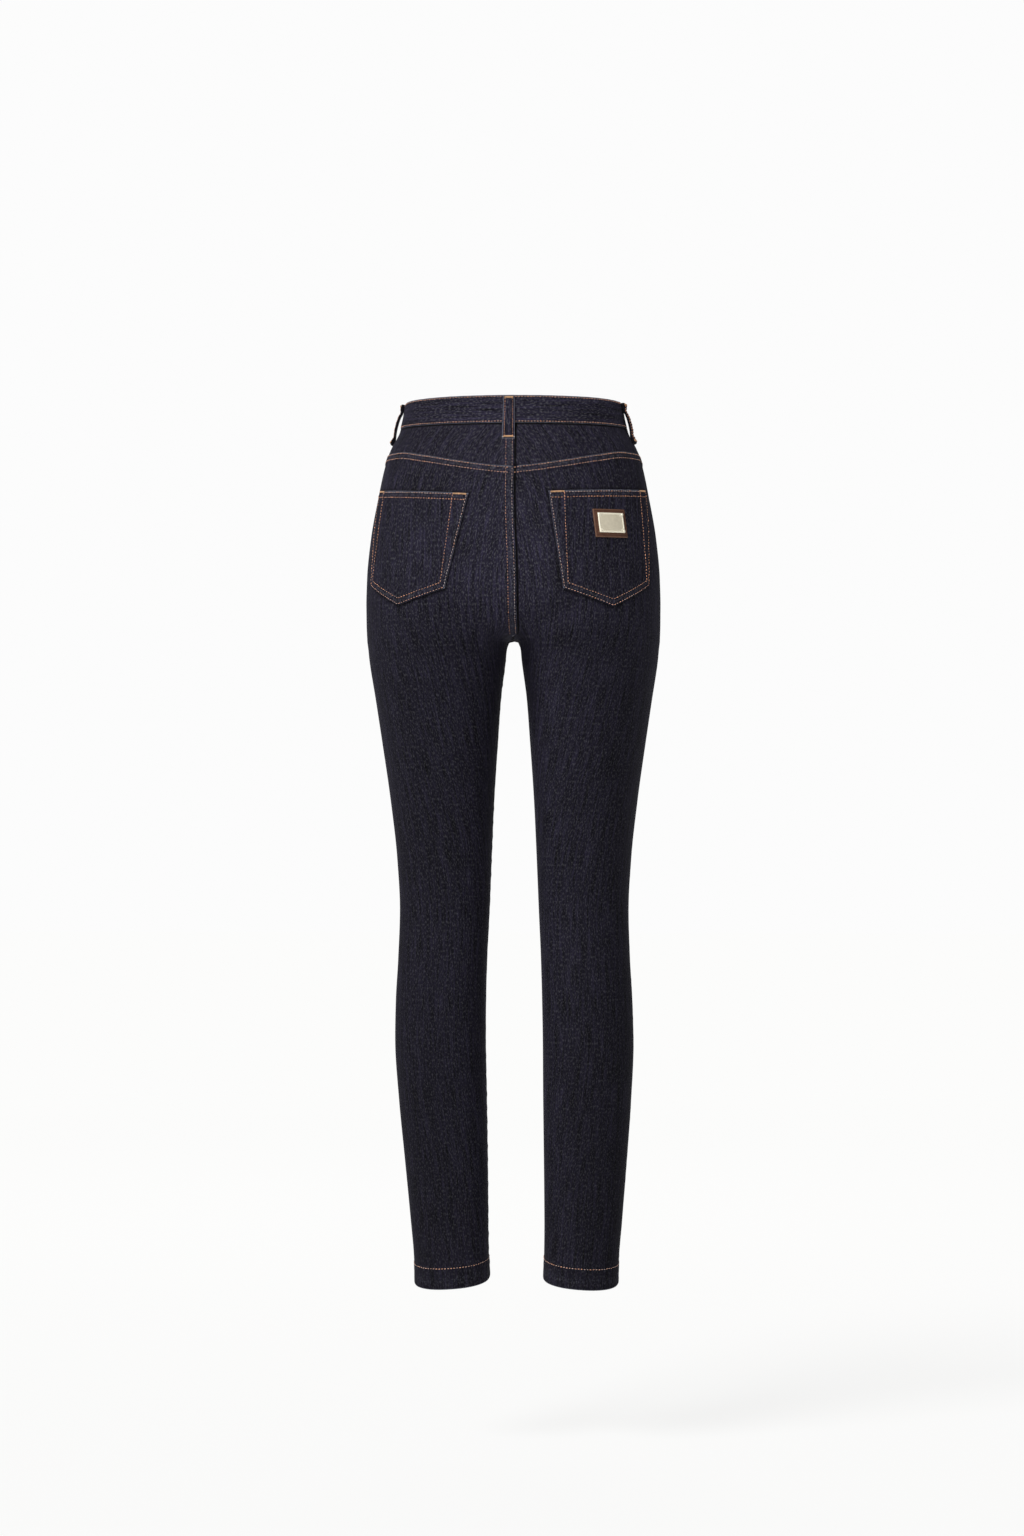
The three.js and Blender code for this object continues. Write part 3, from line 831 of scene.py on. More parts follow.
class Effects:
    """Shader node groups that several finishes share, each built once."""

    def __init__(self) -> None:
        """Builds them."""
        self.streaks = self._streaks()
        self.twill = self._twill()
        self.worn = self._worn()
        self.pores = self._grain("leather pores", True)
        self.grain = self._grain("leather grain", False)
        self.brushed = self._brushed()

    @staticmethod
    def _streaks() -> bpy.types.NodeTree:
        """Fine broken streaks along the cloth's length, as uneven yarns give: about 0 to 1."""
        net = Group("yarn streaks", Place=None, Across=0.001, Along=0.003, Detail=2.0)
        split = net.add("ShaderNodeSeparateXYZ", Vector=net.given["Place"])
        u = net.math("DIVIDE", split.outputs["X"], net.given["Across"])
        v = net.math("DIVIDE", split.outputs["Y"], net.given["Along"])
        place = net.add("ShaderNodeCombineXYZ", X=u, Y=v).outputs[0]
        return net.finish(net.span(net.noise(place, 1.0, net.given["Detail"], Roughness=0.6), 0.25, 0.75))

    @staticmethod
    def _twill() -> bpy.types.NodeTree:
        """The height of a twill's diagonal ribs, from 0 to 1."""
        net = Group("twill", Place=None, Pitch=0.0008)
        place, pitch = net.given["Place"], net.given["Pitch"]
        split = net.add("ShaderNodeSeparateXYZ", Vector=place)
        drift = net.times(net.noise(place, 420.0, 1.0), 0.00035)
        slope = net.times(split.outputs["Y"], 0.62)
        along = net.math("ADD", net.math("ADD", split.outputs["X"], slope), drift)
        rib = net.times(net.math("DIVIDE", along, pitch), 2 * math.pi)
        warp = net.times(net.math("DIVIDE", split.outputs["X"], pitch), 4 * math.pi)
        yarn = net.gain(net.math("SINE", warp), 0.25, 0.75)
        return net.finish(net.times(net.gain(net.math("SINE", rib), 0.5, 0.5), yarn))

    @staticmethod
    def _worn() -> bpy.types.NodeTree:
        """Where a surface has lost its colour: on the edges that the mesh marks, broken up by a noise."""
        net = Group("worn edges", Edge=0.0, Place=None, Size=260.0, Start=0.45)
        noise = net.noise(net.given["Place"], net.given["Size"], 3.0, Roughness=0.65)
        both = net.math("ADD", net.given["Edge"], net.gain(noise, 0.9, -0.45))
        return net.finish(net.span(both, net.given["Start"], 1.15))

    @staticmethod
    def _grain(name: str, pores: bool) -> bpy.types.NodeTree:
        """The pebbled grain of leather: its height, or the pores where it is deepest."""
        net = Group(name, Place=None, Scale=900.0)
        place = net.given["Place"]
        cells = net.add("ShaderNodeTexVoronoi", Vector=place, Scale=net.given["Scale"], Randomness=1.0)
        distance = cells.outputs["Distance"]
        if pores:
            return net.finish(net.span(distance, 0.55, 0.9))
        return net.finish(net.gain(net.noise(place, 180.0, 2.0), 0.5, net.times(distance, 0.6)))

    @staticmethod
    def _brushed() -> bpy.types.NodeTree:
        """Fine brush lines along one direction of a plate."""
        net = Group("brush lines", Place=None, Fineness=2600.0)
        squeeze = net.add("ShaderNodeVectorMath", "MULTIPLY")
        net.put(squeeze.inputs[0], net.given["Place"])
        net.put(squeeze.inputs[1], (0.06, 0.06, 1.0))
        return net.finish(net.noise(squeeze.outputs[0], net.given["Fineness"], 2.0))


Color = tuple[float, float, float]


def opaque(color: Color, share: float = 1.0) -> tuple[float, float, float, float]:
    """A colour with full alpha, made darker or lighter by a share."""
    return (color[0] * share, color[1] * share, color[2] * share, 1.0)


class Finish:
    """A material written as shader nodes."""

    name: str

    def paint(self, net: Net, shader: bpy.types.Node, effects: Effects) -> None:
        """Fills the shader's inputs.

        Args:
            net: writes the material's nodes.
            shader: its principled shader.
            effects: the shared node groups.
        """
        raise NotImplementedError

    def material(self, effects: Effects) -> bpy.types.Material:
        """Builds the material."""
        material = bpy.data.materials.new(self.name)
        material.use_nodes = True
        self.paint(Net(material.node_tree), material.node_tree.nodes["Principled BSDF"], effects)
        return material


# Width, length and detail of the cloth's streaks: fine ones, flecks, warp yarns and slubs
YARNS = ((0.0013, 0.0058, 3.0), (0.0014, 0.0032, 1.0), (0.0023, 0.034, 2.0), (0.0048, 0.140, 3.0))
# Painted light: heights between which the cloth is painted lighter, and by how much, because the light from above
# falls more on the upper parts: up the legs, over the seat and at the band
PAINTED_LIGHT_BANDS = ((-0.98, -0.30, 0.16), (-0.31, -0.17, 0.26), (-0.018, -0.012, 0.16))


@dataclass(frozen=True)
class Denim(Finish):
    """Dark indigo stretch twill.

    Attributes:
        name: the material's name.
        color: the dyed warp's colour.
        pale: the colour of the bare weft that shows between the warp yarns.
        bare: the colour of cloth that has lost its dye.
        speckle: how strongly single yarns differ.
        sheen: weight of the soft nap.
        painted_light_share: how strongly painted light makes the seat and waist lighter than the hem.
    """

    name: str
    color: Color = (0.0119, 0.0103, 0.0207)
    pale: Color = (0.168, 0.168, 0.178)
    bare: Color = (0.250, 0.262, 0.320)
    speckle: float = 1.0
    sheen: float = 0.02
    painted_light_share: float = 1.0

    def paint(self, net: Net, shader: bpy.types.Node, effects: Effects) -> None:
        """Streaks and ribs under painted light, then pale flecks that thin out at the silhouettes as painted
        shade, painted shade beside the seams, and worn edges.

        Args:
            net: writes the material's nodes.
            shader: its principled shader.
            effects: the shared node groups.
        """
        weave = net.add("ShaderNodeUVMap")
        weave.uv_map = "weave"
        place, where = weave.outputs[0], net.where()
        fine, speck, warp, slub = (
            net.effect(effects.streaks, Place=place, Across=across, Along=along, Detail=detail)
            for across, along, detail in YARNS
        )
        broad = net.noise(where, 7.0, 3.0, Roughness=0.55)
        twill = net.effect(effects.twill, Place=place, Pitch=0.00095)
        painted_light = self._painted_light(net, where)
        tone = net.gain(fine, self.speckle, 1.0 - 0.50 * self.speckle)
        tone = net.math("MAXIMUM", tone, 0.18)
        for value, share, base in (
            (warp, 1.80, 0.10),
            (slub, 1.00, 0.50),
            (broad, 0.50, 0.75),
            (painted_light, self.painted_light_share, 1.0 - self.painted_light_share),
            (twill, 0.24, 0.88),
        ):
            tone = net.times(tone, net.gain(value, share, base))
        dyed = net.toned(opaque(self.color), tone)
        # Painted shade at the silhouettes: the pale flecks thin out where the cloth turns away from view, so the
        # edges read darker and bluer.
        slant = net.span(net.add("ShaderNodeLayerWeight", Blend=0.5).outputs["Facing"], 0.95, 0.25, True)
        strength = net.times(net.times(net.span(speck, 0.50, 1.00), 0.30 * self.speckle), painted_light)
        flecked = net.blend(net.times(strength, net.gain(slant, 0.75, 0.25)), dyed, opaque(self.pale))
        edge = net.marked("wear_and_shade")
        # Painted shade: where the mesh's value falls below 0, the cloth colour is darkened beside folds and edges,
        # down to a twenty-fifth.
        painted_shade = net.math("MAXIMUM", net.gain(net.math("MINIMUM", edge, 0.0), 0.95, 1.0), 0.04)
        worn = net.effect(effects.worn, Edge=edge, Place=where, Size=620.0, Start=0.42)
        relief = net.gain(twill, 0.6, net.times(fine, 0.5))
        net.fill(
            shader,
            Base_Color=net.blend(net.times(worn, 0.55), net.toned(flecked, painted_shade), opaque(self.bare)),
            Roughness=net.gain(fine, 0.10, 0.78),
            Specular_IOR_Level=0.08,
            Sheen_Weight=self.sheen,
            Sheen_Roughness=0.42,
            Sheen_Tint=(0.55, 0.53, 0.72, 1.0),
            Normal=net.bump(relief, 0.55, 0.00016),
        )

    @staticmethod
    def _painted_light(net: Net, where: bpy.types.NodeSocket) -> bpy.types.NodeSocket:
        """Painted light: how much lighter the cloth is painted by height and towards the middle of the seat, where
        more light falls.
        """
        spot = net.add("ShaderNodeSeparateXYZ", Vector=where)
        painted_light = 0.0
        for low, high, share in PAINTED_LIGHT_BANDS:
            painted_light = net.gain(net.span(spot.outputs["Z"], low, high, True), share, painted_light)
        seat = net.span(net.math("ABSOLUTE", spot.outputs["X"]), 0.098, 0.008, True)
        return net.math("ADD", net.gain(seat, 0.22, 0.41), painted_light)


@dataclass(frozen=True)
class Thread(Finish):
    """Spun sewing thread, with a tone of its own for every stitch, and worn pale where the mesh says."""

    name: str
    color: Color
    dark: float = 0.45
    light: float = 1.7
    faded: Color = (0.47, 0.42, 0.42)

    def paint(self, net: Net, shader: bpy.types.Node, effects: Effects) -> None:
        """Fibres and tones, then the fading."""
        fibres = net.noise(net.where(), 2600.0, 2.0)
        mixed = net.gain(fibres, 0.5, net.gain(net.marked("tone"), 1.0, -0.25))
        ramp = net.blend(mixed, opaque(self.color, self.dark), opaque(self.color, self.light))
        net.fill(
            shader,
            Base_Color=net.blend(net.marked("fade"), ramp, opaque(self.faded)),
            Roughness=net.gain(fibres, 0.2, 0.5),
            Sheen_Weight=0.3,
            Normal=net.bump(fibres, 0.4, 0.0001),
        )


@dataclass(frozen=True)
class Leather(Finish):
    """Oiled brown leather of a small tag."""

    name: str = "brown_leather"
    color: Color = (0.096, 0.041, 0.024)
    worn: Color = (0.180, 0.092, 0.054)

    def paint(self, net: Net, shader: bpy.types.Node, effects: Effects) -> None:
        """Patches and pores, paler edges and a dark pressed line."""
        where, edge = net.where(), net.marked("wear_and_shade")
        patches = net.noise(where, 130.0, 4.0, Roughness=0.6)
        pores = net.effect(effects.pores, Place=where, Scale=1500.0)
        worn = net.effect(effects.worn, Edge=edge, Place=where, Size=500.0, Start=0.35)
        pressed = net.times(net.math("MINIMUM", edge, 0.0), -0.6)
        color = net.blend(patches, opaque(self.color, 0.6), opaque(self.color, 1.5))
        color = net.blend(net.times(pores, 0.4), color, opaque(self.color, 0.4))
        color = net.blend(net.times(worn, 0.8), color, opaque(self.worn))
        net.fill(
            shader,
            Base_Color=net.blend(pressed, color, opaque(self.color, 0.25)),
            Roughness=net.gain(patches, 0.2, 0.42),
            Specular_IOR_Level=0.25,
            Normal=net.bump(net.effect(effects.grain, Place=where, Scale=1500.0), 0.6, 0.00025),
        )


@dataclass(frozen=True)
class PlatedMetal(Finish):
    """Pale gold plating, brushed on its faces and patchy in its colour."""

    name: str
    color: Color
    dull: Color
    roughness: float
    brush: float = 0.3
    metallic: float = 1.0

    def paint(self, net: Net, shader: bpy.types.Node, effects: Effects) -> None:
        """Patches of colour and brush lines."""
        where = net.where()
        lines = net.effect(effects.brushed, Place=where, Fineness=3000.0)
        net.fill(
            shader,
            Base_Color=net.blend(net.noise(where, 260.0, 4.0), opaque(self.dull), opaque(self.color)),
            Metallic=self.metallic,
            Roughness=net.gain(lines, self.brush, self.roughness - self.brush / 2),
            Normal=net.bump(lines, 0.25, 0.00008),
        )


class Finishes:
    """Every material, by the piece that uses it."""

    def __init__(self) -> None:
        """Builds them once."""
        effects = Effects()
        self.paper = Paper().material(effects)
        self.denim = Denim("indigo_denim").material(effects)
        self.inside = Denim(
            "denim_inside", color=(0.120, 0.118, 0.142), pale=(0.42, 0.41, 0.44), speckle=0.8, painted_light_share=0.2
        ).material(effects)
        self.thread = Thread("topstitch_thread", (0.560, 0.240, 0.115)).material(effects)
        self.tack = Thread("bar_tack_thread", (0.480, 0.260, 0.120), dark=0.6, light=1.4).material(effects)
        self.leather = Leather().material(effects)
        # The rim and studs take a brighter copy of the plating and the sunk field a darker one: a painted
        # highlight on the raised parts and painted shade in the recess.
        self.rim, self.field, self.button = (
            PlatedMetal(*values).material(effects)
            for values in (
                ("plate_rim", (1.0, 0.95, 0.78), (0.92, 0.84, 0.66), 0.22, 0.12, 0.30),
                ("plate_field", (0.86, 0.79, 0.62), (0.64, 0.57, 0.43), 0.46, 0.3, 0.4),
                ("button_metal", (0.62, 0.50, 0.36), (0.38, 0.29, 0.19), 0.36),
            )
        )


@dataclass
class Sewing:
    """Rows of separate stitches and bar tacks, gathered into one piece of thread."""

    name: str
    finish: bpy.types.Material
    seed: int
    sets: list[tuple[Array, ...]] = field(default_factory=list)

    SIDES = 6
    # The rings of a stitch: place along its half length, then height and girth as shares of the thread
    RINGS = ((-1.0, -0.75, 0.55), (-0.72, 0.25, 0.95), (0.0, 0.62, 1.05), (0.72, 0.25, 0.95), (1.0, -0.75, 0.55))
    LOOK_AHEAD = 0.0006
    THREAD = 0.00033

    @classmethod
    def _walk(cls, line: Line, distance: Array) -> tuple[Array, Array, Array]:
        """Places, directions and outward normals at distances along a line.

        Args:
            line: points of the cloth, and the cloth's normals there.
            distance: distances along it.

        Returns:
            Places, directions and normals.
        """
        points, normals = line
        length = np.concatenate([[0], np.cumsum(np.linalg.norm(np.diff(points, axis=0), axis=1))])

        def found(values: Array, places: Array) -> Array:
            """The line's values at some distances."""
            return np.stack([np.interp(places, length, values[:, k]) for k in range(3)], -1)

        along = unit(found(points, distance + cls.LOOK_AHEAD) - found(points, distance - cls.LOOK_AHEAD))
        out = found(normals, distance)
        return found(points, distance), along, unit(out - along * (out * along).sum(1, keepdims=True))

    def row(self, line: Line, pitch: float = 0.0034, radius: float = THREAD, fade: float = 0.0) -> None:
        """Adds one row of topstitching.

        Args:
            line: points of the cloth under the row, and the cloth's normals there.
            pitch: length from one stitch to the next.
            radius: half the thread's thickness.
            fade: how far the thread is worn pale.
        """
        random = np.random.default_rng(self.seed + len(self.sets))
        total = run_length(line)
        count = max(int(round(total / pitch)), 1)
        step = total / count
        distance = (np.arange(count) + 0.5) * step + random.normal(0, 0.00008, count)
        at, along, out = self._walk(line, distance)
        aside = np.cross(out, along)
        along = along + aside * random.normal(0.05, 0.05, (count, 1))
        at = at + aside * random.normal(0, 0.00007, (count, 1))
        half = 0.31 * step * (1 + random.normal(0, 0.04, count))
        thick = radius * (1 + random.normal(0, 0.07, count))
        fades = np.clip(fade * random.uniform(0.3, 1.2, count), 0, 1)
        self.sets.append((at, unit(along), out, half, thick, fades))

    def tack(self, line: Line, width: float, spacing: float = 0.00047) -> None:
        """Adds a bar tack: close cross threads over a short line.

        Args:
            line: points of the cloth under the tack, and the cloth's normals there.
            width: how wide the cross threads reach.
            spacing: length from one thread to the next.
        """
        random = np.random.default_rng(self.seed + 50 + len(self.sets))
        total = run_length(line)
        count = max(int(total / spacing), 2)
        at, along, out = self._walk(line, np.linspace(0, total, count))
        even = (np.arange(count) % 2 == 0)[:, None]
        lean = np.where(even, 0.22, -0.22) + random.normal(0, 0.05, (count, 1))
        crossing = np.cross(out, along) + along * lean
        half = width / 2 * (1 + random.normal(0, 0.05, count))
        thick = self.THREAD * (1 + random.normal(0, 0.06, count))
        at = at + out * (0.00012 + np.where(even, 0.0, 0.00018))
        self.sets.append((at, unit(crossing), out, half, thick, np.zeros(count)))

    def build(self) -> bpy.types.Object:
        """Makes the thread's object, with a tone for every stitch, and ties it to the frame."""
        at, along, out, half, thick, fade = (np.concatenate(part) for part in zip(*self.sets))
        aside = np.cross(out, along)
        count = len(at)
        reach, height, girth = (column[None, :, None] for column in np.array(self.RINGS).T)
        half, thick = half[:, None, None], thick[:, None, None]
        centre = at[:, None, :] + along[:, None, :] * (reach * half)
        centre = centre + out[:, None, :] * (height * thick)
        turn = (np.arange(self.SIDES) * 2 * math.pi / self.SIDES)[None, None, :, None]
        ring = out[:, None, None, :] * np.sin(turn) + aside[:, None, None, :] * np.cos(turn)
        points = centre[:, :, None, :] + ring * (girth[..., None] * thick[..., None])
        rings = len(self.RINGS)
        stitch = rings * self.SIDES
        first = np.arange(self.SIDES)[::-1]
        last = np.arange(self.SIDES) + (rings - 1) * self.SIDES
        start = (np.arange(count) * stitch)[:, None]
        faces = (ring_quads(rings, self.SIDES)[None] + start[:, :, None]).reshape(-1, 4).tolist()
        faces += (first[None] + start).tolist() + (last[None] + start).tolist()
        tone = np.clip(np.random.default_rng(self.seed).normal(0.5, 0.3, count), 0, 1)
        mesh = new_mesh(self.name, points.reshape(-1, 3), faces, self.finish)
        for name, values in (("tone", tone), ("fade", fade)):
            layer = mesh.attributes.new(name, "FLOAT", "POINT")
            layer.data.foreach_set("value", np.repeat(values, stitch).astype(np.float32))
        return dress_trim(new_object(self.name, mesh))


@dataclass(frozen=True)
class Band:
    """A soft band of rubbed or shaded cloth beside a line: how strong, how far from the line and how wide."""

    strength: float
    at: float
    width: float

    def on(self, distance: Array) -> Array:
        """Its strength at distances from the line."""
        return self.strength * bell(distance, self.at, self.width)


BESIDE_CENTRE = Band(0.46, 0.005, 0.0075)
BELOW_YOKE_SEAM = Band(0.44, 0.004, 0.007)
ABOVE_YOKE_SEAM = Band(0.28, 0.003, 0.006)
BELOW_WAISTBAND = Band(0.30, 0.003, 0.006)
ABOVE_HEM = Band(0.40, 0.010, 0.012)
INSIDE_POCKET = Band(0.44, 0.0045, 0.0045)
# Painted shade just outside a back pocket's raised edge.
SHADE_ROUND_POCKET = Band(0.6, -0.0004, 0.0022)
# Painted shade just past the centre back lap's folded edge, where the fold casts its shadow.
SHADE_PAST_LAP = Band(1.6, 0.0012, 0.0017)


def wear_near(distance: Array, width: float = 0.0011) -> Array:
    """How worn the cloth is near an edge that lies at distance 0."""
    return bell(np.maximum(distance, 0), 0.0, width)


def rounded(distance: Array, drop: float = 0.0005, width: float = 0.0005) -> Array:
    """The fall of a folded edge over its last half millimetre."""
    return -drop * np.exp(-((np.maximum(distance, 0) / width) ** 1.5))


def fold(distance: Array, width: float) -> Array:
    """The step of a folded edge that lies on other cloth: full at the edge, gone past its width."""
    return LAP_RISE * (1 - ease((distance - width) / 0.0016)) + rounded(distance)


class ClothPiece:
    """A piece of cloth on the body surface, between an outer face at `rise` and an inner face."""

    name: str

    def rise(self, station: Array, z: Array) -> Array:
        """How far the outer face stands off the body surface.

        Args:
            station: where round the body.
            z: how high.

        Returns:
            The distances.
        """
        raise NotImplementedError

    def line(self, station: Array, z: Array) -> tuple[Array, Array]:
        """Points and normals of the outer face along a line of stations and heights."""
        station, z = np.broadcast_arrays(np.asarray(station, float), np.asarray(z, float))
        normals = SURFACE.normals(station, z)
        return SURFACE.points(station, z) + normals * self.rise(station, z)[:, None], normals

    def make(self, wall: Wall, face: bpy.types.Material, lining: bpy.types.Material) -> bpy.types.Object:
        """Builds the cloth object, ties it to the frame and states its cut.

        Args:
            wall: the piece's shell.
            face: the material of its outer face.
            lining: the material of its inner face.

        Returns:
            The object.
        """
        thing = wall.build(face, lining)
        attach(thing, "root")
        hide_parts(self.name)
        width, length = wall.size()
        wall.area()
        LOG.info("%s: %.0f x %.0f mm, %.4f m2", thing.name, width * 1000, length * 1000, wall.area())
        return thing


def dress_trim(thing: bpy.types.Object, nodes: Sequence[str] = ()) -> bpy.types.Object:
    """Ties a small piece to the frame.

    Args:
        thing: the object.
        nodes: the solids it stands for, if any.

    Returns:
        The same object.
    """
    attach(thing, "root")
    if nodes:
        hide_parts(*nodes)
    LOG.info("%s", thing.name)
    return thing


@dataclass(frozen=True)
class PocketCut:
    """Corners of a back pocket: distance from the centre back seam on the cloth, and height."""

    top_inner: Flat
    top_outer: Flat
    bottom_outer: Flat
    tip: Flat
    bottom_inner: Flat

    def corners(self) -> Array:
        """The five corners in order."""
        return np.array([self.top_inner, self.top_outer, self.bottom_outer, self.tip, self.bottom_inner])

    def edge_distance(self, k: int, spot: Array) -> Array:
        """Distance from the pocket's edge k, counted inward: 0 top, 1 outer, 2 and 3 bottom, 4 inner.

        Args:
            k: the edge.
            spot: places on the flat cloth.

        Returns:
            The distances, less than 0 outside.
        """
        corners = self.corners()
        start, end = corners[k], corners[(k + 1) % 5]
        along = (end - start) / np.linalg.norm(end - start)
        normal = np.array([-along[1], along[0]])
        normal = normal * np.sign((corners.mean(0) - start) @ normal)
        return (spot - start) @ normal


POCKET_CUTS = {
    Side.LEFT: PocketCut(
        (0.045, -0.0942), (0.178, -0.0865), (0.1775, -0.1935), (0.126, -0.2168), (0.0705, -0.1988)
    ),
    Side.RIGHT: PocketCut(
        (0.043, -0.0918), (0.178, -0.0868), (0.170, -0.1944), (0.116, -0.2185), (0.0595, -0.1988)
    ),
}


@dataclass
class BackPanel(ClothPiece):
    """One back panel: the yoke seam folded over the yoke, the centre back felled on the left side."""

    side: Side
    finishes: Finishes
    yoke_fold: float = 0.0088
    yoke_rows: tuple[float, float] = (0.0015, 0.0072)
    seam_end: float = -0.2476

    def __post_init__(self) -> None:
        """Names the piece after its solid."""
        self.name = f"back_{self.side.word}"

    def from_centre(self, station: Array, z: Array) -> Array:
        """Distance on the cloth from the centre back seam or the inseam, less than 0 on the lap."""
        return station * self.side.value * SURFACE.inner_rate("back", z)

    def rise(self, station: Array, z: Array) -> Array:
        """Folds, stitch channels, puckers and creases."""
        near = np.abs(station)
        below = yoke_line(near) - z
        centre = self.from_centre(station, z)
        seed = 11 if self.side is Side.LEFT else 23
        out = crease_relief(station, z) + fold(below, self.yoke_fold)
        out = out + sum(dip(below, row) for row in self.yoke_rows)
        out = out + pucker(below - 0.0045, near * 0.2, seed, depth=0.00034)
        seam = ease((z - self.seam_end + 0.010) / 0.014)
        if self.side is Side.LEFT:
            edge = centre + centre_lap(z)
            felled = fold(edge, CENTRE_FOLD) + sum(dip(edge, row) for row in CENTRE_ROWS)
            out = out + seam * felled * (1 - 0.55 * bell(below, 0.0, 0.009))
        out = out + seam * pucker(centre - 0.003, z, seed + 1, reach=0.009, depth=0.00042)
        aside = (1 - near) * SURFACE.length("back", z)
        return out + leg_relief(station, z, centre, aside, seed)

    def build(self) -> list[bpy.types.Object]:
        """Builds the panel and its sewing."""
        stations = runs(
            (0, 0.010, 8), (0.010, 0.056, 15), (0.056, 0.20, 22),
            (0.20, 0.86, 84), (0.86, 0.985, 12), (0.985, 1, 5),
        )
        top = YOKE_REFERENCE
        rows = leg_rows(
            (top, top - 0.0012, 4), (top - 0.0012, top - 0.0116, 14), (top - 0.0116, -0.100, 12),
            (-0.100, -0.225, 68), (-0.225, -0.2500, 13), thigh=20, leg=112,
        )
        wall = leg_wall(self, stations, rows, top, yoke_line)
        return [self.make(wall, self.finishes.denim, self.finishes.inside), self._sewing().build()]

    def _sewing(self) -> Sewing:
        """Topstitching along the yoke seam, down the centre back and round the hem."""
        sign = self.side.value
        sewing = Sewing(f"{self.name}_topstitch", self.finishes.thread, 300 + sign)
        across = np.linspace(0.004, 0.996, 160)
        for row in self.yoke_rows:
            sewing.row(self.line(sign * across, yoke_line(across) - row), fade=0.3)
        if self.side is Side.LEFT:
            for row, fade in zip(CENTRE_ROWS, CENTRE_FADES):
                z = np.linspace(YOKE_REFERENCE - 0.001, self.seam_end, 160)
                station = (row - centre_lap(z)) / SURFACE.inner_rate("back", z)
                sewing.row(self.line(station, z), radius=0.00020, fade=fade)
        add_hem_row(sewing, self, sign, 0.004, 0.996)
        return sewing


def leg_rows(*upper: tuple[float, float, int], thigh: int, leg: int) -> Array:
    """Heights of a leg panel's rows, from its top seam to the hem, closest where it is sewn.

    Args:
        *upper: the stretches above the crotch.
        thigh: count of rows in the upper thigh.
        leg: count of rows from there to the doubled hem.

    Returns:
        The heights, from the top down.
    """
    return runs(
        *upper, (-0.2500, CROTCH, 6), (CROTCH, -0.2556, 3), (-0.2556, -0.272, 10), (-0.272, -0.34, thigh),
        (-0.34, -0.94, leg), (-0.94, -0.9485, 4), (-0.9485, -0.9535, 6), (-0.9535, -0.972, 9), (-0.972, HEM, 3),
    )


def leg_relief(station: Array, z: Array, centre: Array, aside: Array, seed: int) -> Array:
    """Gathers along a leg panel's inseam and side seam, and its hem.

    Args:
        station: where round the body.
        z: how high.
        centre: distance on the cloth from the inseam.
        aside: distance on the cloth from the side seam.
        seed: sets the panel's own gathers.

    Returns:
        How far they move the cloth out.
    """
    leg = 1 - ease((z - CROTCH + 0.004) / 0.016)
    inseam = pucker(centre, z, seed + 2, reach=0.006, depth=0.00025) + rounded(centre, 0.0006, 0.0009)
    outseam = pucker(aside, z, seed + 3, reach=0.006) + rounded(aside, 0.0006, 0.0009)
    return leg * inseam + outseam + hem_relief(station, z, seed + 4)


def hem_relief(station: Array, z: Array, seed: int) -> Array:
    """The doubled hem: a faint step at its stitched edge and slanting ropes that come from its sewing.

    Args:
        station: where round the body.
        z: how high.
        seed: sets the hem's own ropes.

    Returns:
        How far the hem stands off the leg.
    """
    above = z - (HEM + hem_drop(station))
    random = np.random.default_rng(seed)
    around = np.abs(station) * 0.14
    rope = sum(
        np.sin(2 * math.pi * (around / wave + above / 0.045) + random.uniform(0, FULL_TURN))
        for wave in (0.0135, 0.019, 0.0085)
    )
    within = ease(above / 0.004) * (1 - ease((above - 0.0165) / 0.006))
    step = 0.00035 * (1 - ease((above - HEM_DEPTH - 0.0004) / 0.0014))
    return step + 0.00013 * rope * within + dip(above, HEM_DEPTH) + rounded(above, 0.0009, 0.0007)


def add_hem_row(sewing: Sewing, piece: ClothPiece, sign: int, low: float, high: float) -> None:
    """Adds the hem's row of topstitching over a panel's share of the leg."""
    near = np.linspace(low, high, 120)
    sewing.row(piece.line(sign * near, HEM + hem_drop(near) + HEM_DEPTH), fade=0.45)


